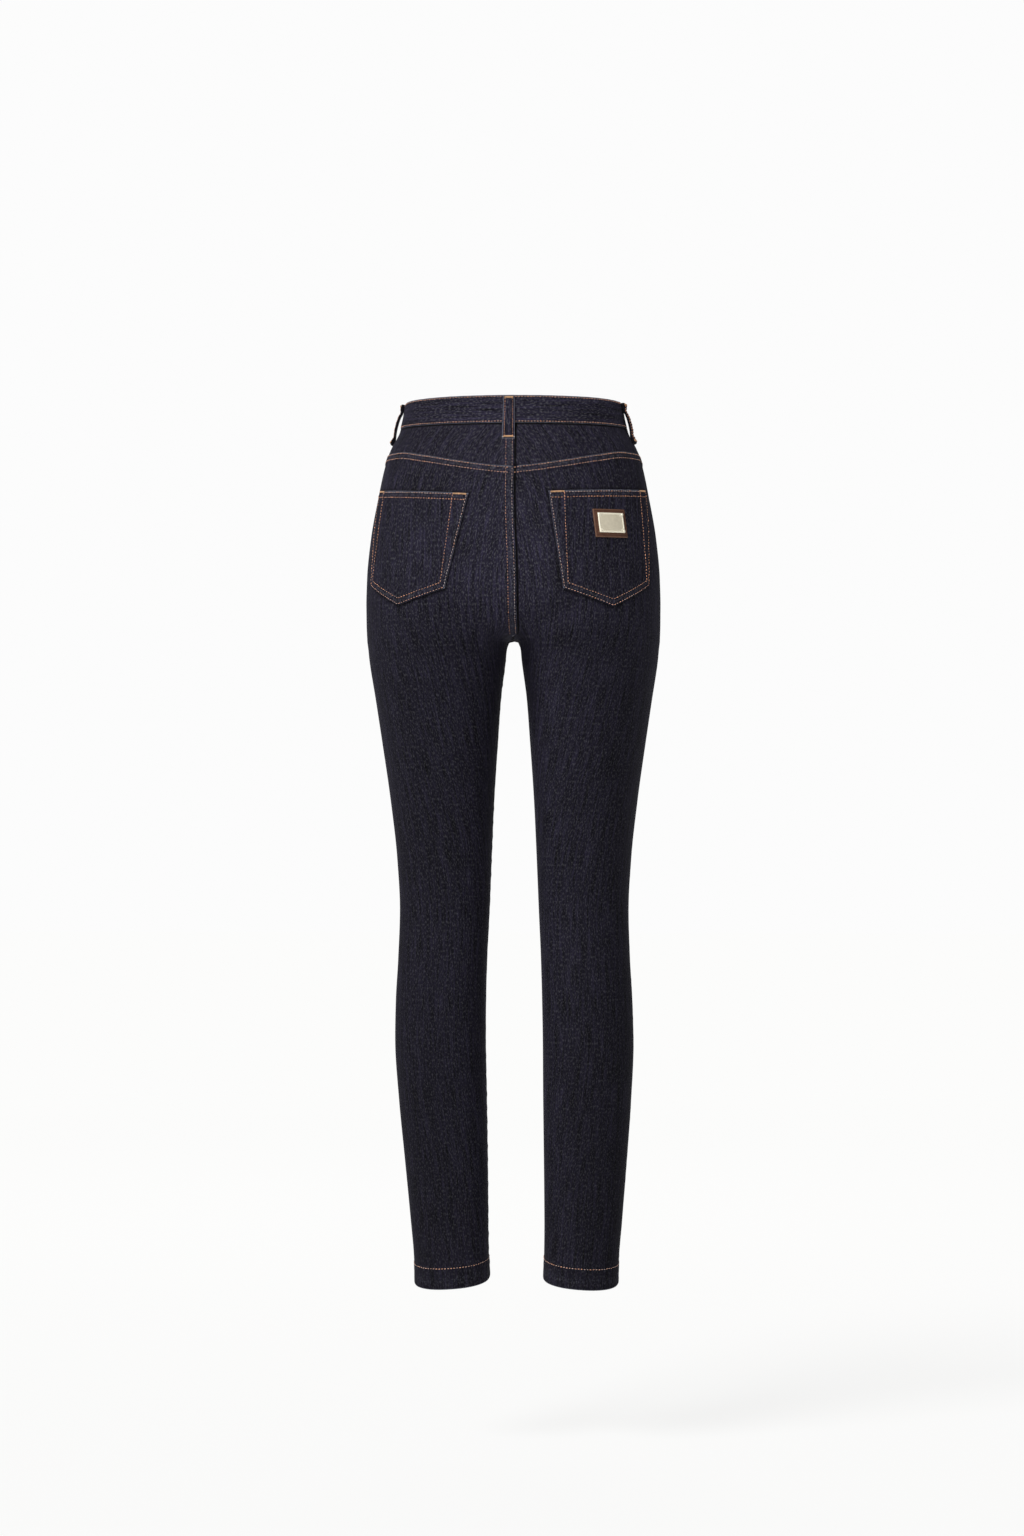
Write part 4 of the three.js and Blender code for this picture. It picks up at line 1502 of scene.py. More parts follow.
def leg_wall(
    piece: ClothPiece, stations: Array, rows: Array, top: float, shape: Callable[[Array], Array]
) -> Wall:
    """Makes the shell of a leg panel.

    Args:
        piece: the panel, with its name, side and rise.
        stations: from 0 to 1 for a back panel, or from 1 to 2 for a front.
        rows: heights from the top seam to the hem.
        top: the height that the top seam is measured from.
        shape: height of the top seam at a station.

    Returns:
        The shell, with its columns in the order that keeps its outer face outward.
    """
    part = "back" if stations[0] < 0.5 else "front"
    gap = LAY_GAP / 2
    station, row = np.meshgrid(stations, rows)
    z = leg_height(station, row, top, shape)
    z[0] -= gap / 2
    inset = gap / SURFACE.length(part, z)
    low, high = stations[0], stations[-1]
    lapped = part == "back" and piece.side is Side.LEFT
    share = (station - low) / (high - low)
    station = mix(low + inset, high - inset, share)
    scarf = np.clip(1 - (1 - share if part == "back" else share) / 0.02, 0, 1)
    if lapped:
        spread = np.clip(1 - share / 0.09, 0, 1)
        lap = centre_lap(z) / SURFACE.inner_rate("back", z)
        station = station - spread * (lap + inset * ease((z + 0.2515) / 0.006))
    beneath = station - scarf * 0.0006 / SURFACE.length(part, z)
    if piece.side is Side.RIGHT:
        station, beneath = -station, -beneath
    normals = SURFACE.normals(station, z)
    base = SURFACE.points(station, z)
    thick = np.where(row < HEM + HEM_DEPTH, HEM_CLOTH, DENIM)
    back = np.where(lapped & (station < 0), LAP_BACK, -thick)
    outer = base + normals * piece.rise(station, z)[..., None]
    inner = SURFACE.points(beneath, z) + normals * (crease_relief(station, z) + back)[..., None]
    edge = np.minimum(shape(np.abs(station)) - z, z - (HEM + hem_drop(station)))
    wear_and_shade = np.maximum(wear_near(edge), ABOVE_HEM.on(z - HEM - hem_drop(station)))
    if part == "back":
        seam = ease((z + 0.262) / 0.008)
        near = piece.from_centre(station, z) + (centre_lap(z) if lapped else 0.0)
        wear_and_shade = np.maximum.reduce([
            wear_and_shade,
            seam * wear_near(near, 0.0010) * (0.55 if lapped else 0.3),
            seam * BESIDE_CENTRE.on(near),
            BELOW_YOKE_SEAM.on(shape(np.abs(station)) - z),
        ])
        # Painted shade round the back pocket.
        wear_and_shade = wear_and_shade - pocket_shade(piece.side, station, z)
        # Painted shadow of the lap's folded edge on the right panel.
        if not lapped:
            wear_and_shade = wear_and_shade - seam * SHADE_PAST_LAP.on(near - centre_lap(z))
    return Wall(piece.name, *mirrored(piece.side, outer, inner, weave_places(station, z), wear_and_shade))


def pocket_shade(side: Side, station: Array, z: Array) -> Array:
    """Painted shade: darker cloth close outside a back pocket's edge, where the raised pocket casts its shadow."""
    pocket = POCKET_CUTS[side]
    spot = np.stack([np.abs(station) * SURFACE.length("back", z), z], -1)
    edge = np.minimum.reduce([pocket.edge_distance(k, spot) for k in range(5)])
    return SHADE_ROUND_POCKET.on(edge)


@dataclass
class FrontPanel(ClothPiece):
    """One front panel, plain but for its sewing: the fly on the left side and the line of a scoop pocket."""

    side: Side
    finishes: Finishes
    fly_fold: float = 0.0098
    fly_rows: tuple[float, float] = (0.030, 0.0364)
    fly_bend: float = -0.112
    scoop_rows: tuple[float, float] = (0.0, 0.0062)
    scoop_size: Flat = (0.078, 0.068)
    edge: float = 0.0022
    rows_start: float = -0.021

    def __post_init__(self) -> None:
        """Names the piece after its solid."""
        self.name = f"front_{self.side.word}"

    def rise(self, station: Array, z: Array) -> Array:
        """Creases, puckers and the folded centre front."""
        near = np.abs(station)
        seed = 41 if self.side is Side.LEFT else 53
        centre = (2 - near) * SURFACE.inner_rate("front", z)
        aside = (near - 1) * SURFACE.length("front", z)
        out = crease_relief(station, z)
        seam = ease((z - CROTCH + 0.004) / 0.014)
        if self.side is Side.LEFT:
            out = out + seam * (fold(centre, self.fly_fold) + dip(centre, 0.002))
        out = out + seam * pucker(centre - 0.004, z, seed, reach=0.008, depth=0.00025)
        return out + leg_relief(station, z, centre, aside, seed)

    def build(self) -> list[bpy.types.Object]:
        """Builds the panel and its sewing."""
        stations = runs(
            (1, 1.015, 5), (1.015, 1.1, 8), (1.1, 1.80, 40), (1.80, 1.944, 14), (1.944, 1.99, 12), (1.99, 2, 7)
        )
        top = BAND_BOTTOM
        rows = leg_rows(
            (top, top - 0.0012, 3), (top - 0.0012, -0.215, 80), (-0.215, -0.2500, 18), thigh=22, leg=130
        )
        wall = leg_wall(self, stations, rows, top, band_bottom)
        return [self.make(wall, self.finishes.denim, self.finishes.inside), self._sewing().build()]

    def _sewing(self) -> Sewing:
        """Topstitching of the fly, the pocket line, the upper side seam and the hem."""
        sign = self.side.value
        sewing = Sewing(f"{self.name}_topstitch", self.finishes.thread, 340 + sign)
        z = np.linspace(-0.022, -0.200, 120)
        sewing.row(self.line(sign * (1 + self.edge / SURFACE.length("front", z)), z))
        turn = np.linspace(0, math.pi / 2, 60)
        for row in self.scoop_rows:
            station = 1 + (0.004 + (self.scoop_size[0] - row) * np.sin(turn) ** 0.9) / 0.160
            fall = -0.020 - (self.scoop_size[1] - row) * np.cos(turn) ** 1.1
            sewing.row(self.line(sign * station, fall))
        if self.side is Side.LEFT:
            for row in self.fly_rows:
                straight = np.linspace(self.rows_start, self.fly_bend, 50)
                bend = np.linspace(0, math.pi / 2, 40)[1:]
                z = np.concatenate([straight, self.fly_bend - (row + 0.006) * np.sin(bend)])
                away = np.concatenate([np.full(50, row), row * np.cos(bend)]) + 0.001
                sewing.row(self.line(2 - away / SURFACE.length("front", z), z))
            z = np.linspace(self.rows_start, -0.246, 150)
            sewing.row(self.line(2 - 0.002 / SURFACE.inner_rate("front", z), z))
        add_hem_row(sewing, self, sign, 1.004, 1.996)
        return sewing


@dataclass
class Yoke(ClothPiece):
    """One back yoke between the waistband and the back panel."""

    side: Side
    finishes: Finishes

    def __post_init__(self) -> None:
        """Names the piece after its solid."""
        self.name = f"yoke_{self.side.word}"

    def rise(self, station: Array, z: Array) -> Array:
        """Creases, puckers and the felled centre back."""
        near = np.abs(station)
        centre = station * self.side.value * SURFACE.length("back", z)
        seed = 61 if self.side is Side.LEFT else 73
        out = crease_relief(station, z)
        if self.side is Side.LEFT:
            edge = centre + centre_lap(z)
            out = out + fold(edge, CENTRE_FOLD) + sum(dip(edge, row) for row in CENTRE_ROWS)
        out = out + pucker(centre - 0.003, z, seed, reach=0.009, depth=0.00042)
        out = out + pucker(z - yoke_line(near), near * 0.2, seed + 1, reach=0.006)
        out = out + pucker(band_bottom(near) - z, near * 0.2, seed + 2, reach=0.007)
        aside = (1 - near) * SURFACE.length("back", z)
        return out + rounded(aside, 0.0006, 0.0009)

    def build(self) -> list[bpy.types.Object]:
        """Builds the yoke and its sewing."""
        stations = runs((0, 0.010, 8), (0.010, 0.060, 14), (0.060, 0.985, 90), (0.985, 1, 5))
        station, share = np.meshgrid(stations, runs((0, 0.08, 8), (0.08, 0.93, 22), (0.93, 1, 5)))
        gap = LAY_GAP / 2
        z = mix(band_bottom(station) - gap, yoke_line(station) + gap, share)
        inset = gap / SURFACE.length("back", z)
        column = station
        station = mix(inset, 1 - inset, column)
        if self.side is Side.LEFT:
            lap = centre_lap(z) / SURFACE.length("back", z)
            station = station - np.clip(1 - column / 0.09, 0, 1) * (lap + inset)
        else:
            station = -station
        back = np.where((station < 0) & (self.side is Side.LEFT), LAP_BACK, -DENIM)
        faces = SURFACE.between(station, z, self.rise(station, z), crease_relief(station, z) + back)
        near = station * self.side.value * 0.2 + (centre_lap(z) if self.side is Side.LEFT else 0.0)
        above, below = z - yoke_line(np.abs(station)), band_bottom(station) - z
        wear_and_shade = np.maximum.reduce([
            wear_near(near, 0.0010) * (0.45 if self.side is Side.LEFT else 0.2),
            BESIDE_CENTRE.on(near),
            BELOW_WAISTBAND.on(below),
            ABOVE_YOKE_SEAM.on(above),
        ])
        # Painted shade: darker cloth just above the yoke seam, under the back panel's folded edge, and just below
        # the waistband, under its edge.
        wear_and_shade = wear_and_shade - 0.7 * wear_near(above, 0.0014) - 1.5 * wear_near(below, 0.0022)
        # Painted shadow of the lap's folded edge on the right yoke.
        if self.side is Side.RIGHT:
            beyond = np.abs(station) * SURFACE.length("back", z) - centre_lap(z)
            wear_and_shade = wear_and_shade - SHADE_PAST_LAP.on(beyond)
        weave = weave_places(station, z) + np.array([2.6, 0.9])
        wall = Wall(self.name, *mirrored(self.side, *faces, weave, wear_and_shade))
        made = [self.make(wall, self.finishes.denim, self.finishes.inside)]
        if self.side is Side.LEFT:
            sewing = Sewing("yoke_topstitch", self.finishes.thread, 380)
            for row, fade in zip(CENTRE_ROWS, CENTRE_FADES):
                z = np.linspace(-0.017, YOKE_REFERENCE + 0.0005, 40)
                station = (row - centre_lap(z)) / SURFACE.length("back", z)
                sewing.row(self.line(station, z), radius=0.00018, fade=fade)
            made.append(sewing.build())
        return made


@dataclass
class Waistband(ClothPiece):
    """The straight waistband from its tucked end at the front round the back to its over end."""

    finishes: Finishes
    start: float = -2.12
    end: float = 2.085
    edge_row: float = 0.0017
    name: str = "waistband"

    def flat(self, station: Array) -> Array:
        """How far the band's face stands off the body: the under end is tucked below the over end."""
        return BAND_PROUD - (1 - ease((station + 1.9) / 0.1)) * (BAND_CLOTH + LAY_GAP)

    def rise(self, station: Array, z: Array) -> Array:
        """A folded strip: soft edges, stitch channels and faint waves."""
        above = z - band_bottom(station)
        below = band_top(station) - z
        out = self.flat(station) + rounded(above, 0.0008, 0.0007) + rounded(below, 0.0009, 0.0008)
        out = out + dip(above, self.edge_row) + dip(below, self.edge_row)
        out = out + pucker(above - 0.003, station * 0.17, 83, reach=0.006, depth=0.0002)
        out = out + pucker(below - 0.002, station * 0.17, 84, reach=0.007, depth=0.0002)
        waves = np.sin(station * 9.0 + 1.0) * 0.00022 + np.sin(station * 21.0) * 0.00012
        return out + waves

    def build(self) -> list[bpy.types.Object]:
        """Builds the band and its sewing."""
        stations = runs(
            (self.start, -0.03, 190), (-0.03, 0.03, 14),
            (0.03, self.end - 0.01, 190), (self.end - 0.01, self.end, 5),
        )
        shares = runs((0, 0.05, 4), (0.05, 0.16, 6), (0.16, 0.84, 8), (0.84, 0.95, 6), (0.95, 1, 4))
        station, share = np.meshgrid(stations, shares)
        z = mix(band_top(station), band_bottom(station) + 0.00015, share)
        above, below = z - band_bottom(station), band_top(station) - z
        inner_drop = BAND_CLOTH + rounded(below, 0.0008, 0.0008) + rounded(above, 0.0006, 0.0008)
        faces = SURFACE.between(station, z, self.rise(station, z), self.flat(station) - inner_drop)
        wear_and_shade = np.maximum(wear_near(below, 0.0014), 0.8 * wear_near(above, 0.0010))
        wall = Wall(self.name, *faces, np.stack([z + 3.9, station * 0.169], -1), wear_and_shade)
        band = self.make(wall, self.finishes.denim, self.finishes.denim)
        sewing = Sewing("waistband_topstitch", self.finishes.thread, 400)
        around = np.linspace(-1.93, self.end - 0.012, 700)
        sewing.row(self.line(around, band_top(around) - self.edge_row), fade=0.3)
        sewing.row(self.line(around, band_bottom(around) + self.edge_row), fade=0.35)
        share = np.linspace(0.07, 0.93, 20)
        last = np.full(20, self.end - 0.012)
        sewing.row(self.line(last, mix(band_top(last), band_bottom(last), share)))
        return [band, sewing.build()]


# How far a loop stands off the band down its length, at the back and at the sides, as a share of its lift
LOOP_LIFT = (
    (0.00, 0.00, 0.00),
    (0.12, 0.00, 0.02),
    (0.22, 0.45, 0.24),
    (0.30, 0.70, 0.62),
    (0.42, 0.95, 0.90),
    (0.56, 1.00, 1.00),
    (0.68, 0.85, 0.90),
    (0.78, 0.55, 0.60),
    (0.87, 0.15, 0.20),
    (1.00, 0.00, 0.00),
)


@dataclass
class BeltLoop(ClothPiece):
    """A folded strip over the waistband, tacked at both ends."""

    name: str
    station: float
    lift: float
    finishes: Finishes
    top: float = 0.0154
    width: float = 0.0127
    cloth: float = 0.0022
    bottom: float = -0.0335
    front_drop: float = 0.0035

    @property
    def at_side(self) -> bool:
        """Whether the loop stands clear of the band, as those off the centre back do."""
        return abs(self.station) > 0.5

    def place(self, aside: Array, down: Array) -> tuple[Array, Array, Array]:
        """Stations, heights and stand-off for distances across the loop and shares down it.

        Args:
            aside: distances across the loop from its middle.
            down: shares down it.

        Returns:
            The three, in that order.
        """
        column = 2 if self.at_side else 1
        lift_at = curve_through([row[0] for row in LOOP_LIFT], [row[column] for row in LOOP_LIFT])
        part = "back" if abs(self.station) < 1 else "front"
        z = mix(self.top, self.bottom, down) - (self.front_drop if part == "front" else 0)
        station = self.station + aside / float(SURFACE.length(part, np.array(0.0)))
        out = BAND_PROUD * (1 - 1.3 * ease((down - 0.70) / 0.20)) + LAY_GAP + self.lift * lift_at(down)
        return station, z, out

    def face(self, aside: Array, down: Array) -> Array:
        """Thickness of the strip with its soft edges and stitch channels."""
        edge = self.width / 2 - np.abs(aside)
        end = np.minimum(down, 1 - down) * (self.top - self.bottom)
        crown = self.cloth + rounded(edge, 0.0011, 0.0009) + rounded(end, 0.0010, 0.0008)
        groove = -0.00025 * bell(aside, 0.0, 0.0012)
        knob = 0.0014 * (1 - ease((np.minimum(down, 1 - down) - 0.10) / 0.10)) if self.at_side else 0.0
        return crown + dip(edge, 0.0021) + groove + knob + 0.00012 * np.sin(down * 40 + self.station * 9)

    def strip(self, aside: Array, down: Array) -> tuple[Array, Array]:
        """Points and normals of the outer face."""
        station, z, out = self.place(aside, down)
        normals = SURFACE.normals(station, z)
        return SURFACE.points(station, z) + normals * (out + self.face(aside, down))[..., None], normals

    def build(self) -> list[bpy.types.Object]:
        """Builds the loop, its two rows of stitches and its bar tacks."""
        half = self.width / 2
        edge = half - np.array([0.0, 0.0003, 0.0008, 0.0014, 0.0021, 0.0028, 0.0038])
        asides = np.concatenate([-edge, [-0.0012, 0.0, 0.0012], edge[::-1]])
        downs = runs((0, 0.03, 4), (0.03, 0.97, 54), (0.97, 1, 4))
        aside, down = np.meshgrid(asides, downs)
        outer, normals = self.strip(aside, down)
        station, z, out = self.place(aside, down)
        inner = SURFACE.points(station, z) + normals * out[..., None]
        ends = np.minimum(down, 1 - down) * 0.049
        wear_and_shade = np.maximum(wear_near(half - np.abs(aside), 0.0010), 0.9 * wear_near(ends, 0.0010))
        # On the side loops the edges are darkened rather than worn pale: painted shade along loops that stand
        # clear of the band.
        if self.at_side:
            wear_and_shade = -0.8 * wear_and_shade
        weave = np.stack([aside + 5.3 + self.station, z], -1)
        wall = Wall(self.name, outer, inner, weave, wear_and_shade)
        loop = self.make(wall, self.finishes.denim, self.finishes.denim)
        rows = Sewing(f"{self.name}_topstitch", self.finishes.thread, 420)
        along = np.linspace(0.045, 0.955, 60)
        thread = 0.00036 if self.at_side else 0.00020
        for sign in (-1, 1):
            rows.row(self.strip(np.full(60, sign * (half - 0.0021)), along), pitch=0.0030, radius=thread)
        tacks = Sewing(f"{self.name}_tacks", self.finishes.tack, 440)
        reach = half - (0.0006 if self.at_side else 0.0018)
        across = np.linspace(-reach, reach, 20)
        for place in (0.045, 0.955):
            tacks.tack(self.strip(across, np.full(20, place)), width=0.0022)
        for sign in (-1, 1) if not self.at_side else ():
            knot = np.linspace(sign * (reach + 0.0002), sign * (half - 0.0002), 4)
            rows.row(self.strip(knot, np.full(4, 0.968)), pitch=0.0016, radius=0.00060, fade=3.0)
        return [loop, rows.build(), tacks.build()]


@dataclass
class BackPocket(ClothPiece):
    """A patch pocket with turned edges, an outer row of stitches all round and an inner shield of them."""

    side: Side
    finishes: Finishes
    tip_share: float = 0.52
    turned: float = 0.0092
    outline: float = 0.0016
    top_rows: tuple[float, float] = (0.0017, 0.0075)
    tack_length: float = 0.0168
    shield: tuple[float, float, float] = (0.0170, 0.0062, 0.0074)
    rubbed: tuple[float, float, float, float, float] = (1.0, 0.1, 0.4, 0.4, 0.6)

    def __post_init__(self) -> None:
        """Names the piece and measures its cut."""
        self.name = f"back_pocket_{self.side.word}"
        self.cut = POCKET_CUTS[self.side].corners()
        self.middle = self.cut.mean(0)

    def edge_distance(self, k: int, spot: Array) -> Array:
        """Distance inside the pocket's edge k."""
        return POCKET_CUTS[self.side].edge_distance(k, spot)

    def meet(self, first: int, first_inset: float, second: int, second_inset: float) -> Array:
        """The point that lies at the given distances inside two edges."""
        zeros = np.array([self.edge_distance(k, np.zeros(2)) for k in (first, second)])
        rows = [[self.edge_distance(k, axis) for axis in np.eye(2)] for k in (first, second)]
        return np.linalg.solve(np.array(rows) - zeros[:, None], np.array([first_inset, second_inset]) - zeros)

    def rise(self, station: Array, z: Array) -> Array:
        """Turned edges, stitch channels and creases over the panel below."""
        spot = np.stack([np.abs(station) * SURFACE.length("back", z), z], -1)
        gaps = [self.edge_distance(k, spot) for k in range(5)]
        edge = np.minimum.reduce(gaps)
        seed = 91 if self.side is Side.LEFT else 97
        out = LAY_GAP + DENIM + crease_relief(station, z)
        out = out + 0.00042 * (1 - ease((edge - self.turned) / 0.0014)) + rounded(edge, 0.0007, 0.0006)
        out = out + dip(edge, self.outline) + sum(dip(gaps[0], row) for row in self.top_rows)
        out = out + pucker(edge - 0.004, spot[..., 0] + spot[..., 1], seed, reach=0.008, depth=0.00036)
        wide = 0.0009 * bell(gaps[0], 0.012, 0.010) * bell(spot[..., 0], self.middle[0], 0.035)
        sag = np.sin(spot[..., 0] * 95 + spot[..., 1] * 40 + seed) * np.sin(spot[..., 1] * 62 + seed) * 0.00022
        return out + wide + sag

    def flat_line(self, *spots: Array, count: int = 70) -> tuple[Array, Array]:
        """Points and normals of the cloth along straight runs between flat places."""
        parts = [mix(a, b, np.linspace(0, 1, count)[:, None]) for a, b in zip(spots, spots[1:])]
        path = np.concatenate(parts)
        path = path[np.concatenate([[True], np.linalg.norm(np.diff(path, axis=0), axis=1) > 1e-9])]
        station = path[:, 0] / SURFACE.length("back", path[:, 1]) * self.side.value
        return self.line(station, path[:, 1])

    def build(self) -> list[bpy.types.Object]:
        """Builds the pocket and its sewing."""
        edge = (0.0, 0.003, 0.008, 0.015, 0.024, 0.034)
        middle = np.linspace(0.044, 0.956, 64)
        across_steps = np.unique(np.concatenate([edge, middle, [self.tip_share], 1 - np.array(edge)]))
        down_steps = np.unique(np.concatenate([edge, np.linspace(0.044, 0.956, 60), 1 - np.array(edge)]))
        across, down = np.meshgrid(across_steps, down_steps)
        top_inner, top_outer, bottom_outer, tip, bottom_inner = self.cut
        inner_half = (across < self.tip_share)[..., None]
        to_tip = (across / self.tip_share)[..., None]
        from_tip = ((across - self.tip_share) / (1 - self.tip_share))[..., None]
        bottom = np.where(inner_half, mix(bottom_inner, tip, to_tip), mix(tip, bottom_outer, from_tip))
        spot = mix(mix(top_inner, top_outer, across[..., None]), bottom, down[..., None])
        z = spot[..., 1]
        station = spot[..., 0] / SURFACE.length("back", z) * self.side.value
        faces = SURFACE.between(station, z, self.rise(station, z), LAY_GAP + crease_relief(station, z))
        gaps = [self.edge_distance(k, spot) for k in range(5)]
        rubbed = [level * wear_near(gap, 0.0012) for level, gap in zip(self.rubbed, gaps)]
        margin = INSIDE_POCKET.on(np.minimum.reduce(gaps))
        knots = [bell(np.linalg.norm(spot - self.cut[k], axis=-1), 0.0, 0.0024) for k in (0, 4)]
        wear_and_shade = np.maximum.reduce([*rubbed, margin, *knots])
        weave = spot + np.array([7.7 if self.side is Side.LEFT else 8.9, 0.4])
        wall = Wall(self.name, *mirrored(self.side, *faces, weave, wear_and_shade))
        return [self.make(wall, self.finishes.denim, self.finishes.denim), *self._sewing()]

    def _sewing(self) -> list[bpy.types.Object]:
        """The outline, the inner shield, the two rows along the top and the corner tacks."""
        rows = Sewing(f"{self.name}_topstitch", self.finishes.thread, 460 + self.side.value)
        o = self.outline
        top = self.top_rows[0]
        for (wide, narrow, low), fades in (
            ((o, o, o), (0.8, 0.45, 0.45, 0.1)),
            (self.shield, (0.1, 0.2, 0.2, 0.1)),
        ):
            corners = [
                self.meet(0, top, 4, wide),
                self.meet(4, narrow, 3, low),
                self.meet(3, low, 2, low),
                self.meet(2, low, 1, narrow),
                self.meet(1, wide, 0, top),
            ]
            for a, b, fade in zip(corners, corners[1:], fades):
                rows.row(self.flat_line(a, b), radius=0.00027, fade=fade)
        for row, fade in zip(self.top_rows, (0.8, 0.05)):
            rows.row(self.flat_line(self.meet(0, row, 4, o), self.meet(0, row, 1, o)), fade=fade)
        tacks = Sewing(f"{self.name}_tacks", self.finishes.tack, 480 + self.side.value)
        for edge in (4, 1):
            ends = self.meet(0, 0.0011, edge, 0.0024), self.meet(0, 0.0011, edge, self.tack_length)
            tacks.tack(self.flat_line(*ends), width=0.0019)
        return [rows.build(), tacks.build()]


def lathe(
    name: str, profile: Sequence[Flat], sides: int, seat: Array, axis: Array, finish: bpy.types.Material
) -> bpy.types.Object:
    """Turns a profile about an axis.

    Args:
        name: the object's name.
        profile: radius and height along the axis, from the middle of the base to the middle of the top.
        sides: how many steps the round takes.
        seat: the middle of the base.
        axis: the way that the height runs.
        finish: its material.

    Returns:
        The object.
    """
    axis = unit(axis)
    first = unit(np.cross(axis, [0.0, 0.0, 1.0]))
    turn = (np.arange(sides) * 2 * math.pi / sides)[:, None]
    circle = np.cos(turn) * first + np.sin(turn) * np.cross(axis, first)
    rings = [seat + axis * h + r * circle for r, h in profile if r > 0]
    points = np.concatenate([*rings, [seat + axis * profile[0][1]], [seat + axis * profile[-1][1]]])
    faces = ring_quads(len(rings), sides).tolist()
    base, tip, last = len(points) - 2, len(points) - 1, (len(rings) - 1) * sides
    faces += [[base, (s + 1) % sides, s] for s in range(sides)]
    faces += [[tip, last + s, last + (s + 1) % sides] for s in range(sides)]
    mesh = new_mesh(name, points, faces, finish)
    mesh.set_sharp_from_angle(angle=math.radians(55))
    return new_object(name, mesh)


@dataclass
class PocketTag:
    """The leather tag on the right back pocket with its metal plate and four studs. The plate bears nothing."""

    finishes: Finishes
    leather_at: Flat = (0.092, -0.1116)
    leather_size: Flat = (0.0396, 0.031)
    leather_cloth: float = 0.0016
    pressed_line: float = 0.0021
    plate_at: Flat = (0.0972, -0.1160)
    plate_size: Flat = (0.031, 0.0216)
    plate_cloth: float = 0.0011
    rim: float = 0.0017
    recess: float = 0.0004
    lean: float = 0.12
    gap: float = 0.0003
    stud_radius: float = 0.0015
    stud_height: float = 0.0008
    stud_inset: float = 0.0016
    land: float = 0.0029
    dome: tuple[Flat, ...] = ((1, 0), (1, 0.30), (0.93, 0.58), (0.76, 0.82), (0.5, 0.95), (0.22, 1), (0, 1))

    def under(self) -> float:
        """How far the leather's back stands off the body surface."""
        return LAY_GAP + DENIM + self.gap

    def sunk(self, x: Array, y: Array) -> Array:
        """How far the plate's face is sunk, from 0 to 1: not on the rim, nor on the lands under the studs.

        Args:
            x: distances from the inner edge.
            y: distances from the upper edge.

        Returns:
            The shares.
        """
        aside = np.minimum(x, self.plate_size[0] - x)
        down = np.minimum(y, self.plate_size[1] - y)
        field_share = ease((np.minimum(aside, down) - self.rim + 0.0002) / 0.0005)
        from_stud = np.hypot(aside - self.stud_inset, down - self.stud_inset)
        return field_share * ease((from_stud - self.land) / 0.0005)

    def seat(self, at: Flat, size: Flat, across: Array, down: Array) -> tuple[Array, Array]:
        """Stations and heights on the pocket for shares across and down a tag."""
        z = at[1] - size[1] * down
        away = at[0] + size[0] * across + self.lean * size[1] * down
        return -away / SURFACE.length("back", z), z

    def slab(
        self, name: str, at: Flat, size: Flat, steps: tuple[Array, Array], under: float,
        top: Callable[[Array, Array], Array], finish: bpy.types.Material,
    ) -> bpy.types.Object:
        """Builds one layer of the tag.

        Args:
            name: the layer's name.
            at: its upper inner corner.
            size: its width and height.
            steps: shares across and down.
            under: stand-off of its back.
            top: its thickness at distances from its inner and upper edges.
            finish: its material.

        Returns:
            The object.
        """
        across, down = np.meshgrid(steps[0][::-1], steps[1])
        station, z = self.seat(at, size, across, down)
        rise = under + top(across * size[0], down * size[1])
        faces = SURFACE.between(station, z, rise, np.full(station.shape, under))
        edge = np.minimum(np.minimum(across, 1 - across) * size[0], np.minimum(down, 1 - down) * size[1])
        weave = np.stack([across * size[0] + 11.0, z], -1)
        wear_and_shade = wear_near(edge, 0.0009) - bell(edge, self.pressed_line, 0.0005)
        return Wall(name, *faces, weave, wear_and_shade).build(finish, finish)

    def build(self) -> list[bpy.types.Object]:
        """Builds the leather, the plate and the studs."""
        width, height = self.leather_size

        def leather_top(x: Array, y: Array) -> Array:
            """Leather pressed down under the plate and rounded at its cut edge."""
            edge = np.minimum(np.minimum(x, width - x), np.minimum(y, height - y))
            pressed = 0.0003 * bell(edge, self.pressed_line, 0.0004)
            waves = 0.00006 * np.sin(x * 900) * np.sin(y * 1100 + 1)
            return self.leather_cloth - pressed + rounded(edge, 0.0006, 0.0006) + waves

        close = np.array([0, 0.006, 0.014, 0.024, 0.04])
        soft = np.unique(np.concatenate([close, np.linspace(0.07, 0.93, 30), 1 - close]))
        patch = self.slab(
            "patch_leather", self.leather_at, self.leather_size, (soft, soft), self.under(), leather_top,
            self.finishes.leather,
        )
        dress_trim(patch, ["patch_leather"])
        plate_under = self.under() + self.leather_cloth + self.gap
        wide, tall = self.plate_size

        def plate_top(x: Array, y: Array) -> Array:
            """A rounded rim round a sunk field."""
            edge = np.minimum(np.minimum(x, wide - x), np.minimum(y, tall - y))
            return self.plate_cloth + rounded(edge, 0.0005, 0.0004) - self.recess * self.sunk(x, y)

        def plate_steps(length: float) -> Array:
            """Shares that follow the rim's profile closely."""
            rim = np.array([0, 0.00015, 0.0004, 0.0008, 0.0012, 0.0015, 0.00165, 0.0018, 0.002, 0.0024])
            return np.unique(np.concatenate([rim / length, np.linspace(0.09, 0.91, 46), 1 - rim / length]))

        steps = plate_steps(wide), plate_steps(tall)
        plate = self.slab(
            "patch_plate", self.plate_at, self.plate_size, steps, plate_under, plate_top, self.finishes.rim
        )
        plate.data.materials.append(self.finishes.field)
        self._mark_field(plate, steps)
        dress_trim(plate, ["patch_plate"])
        return [patch, plate, *self._studs(plate_under)]

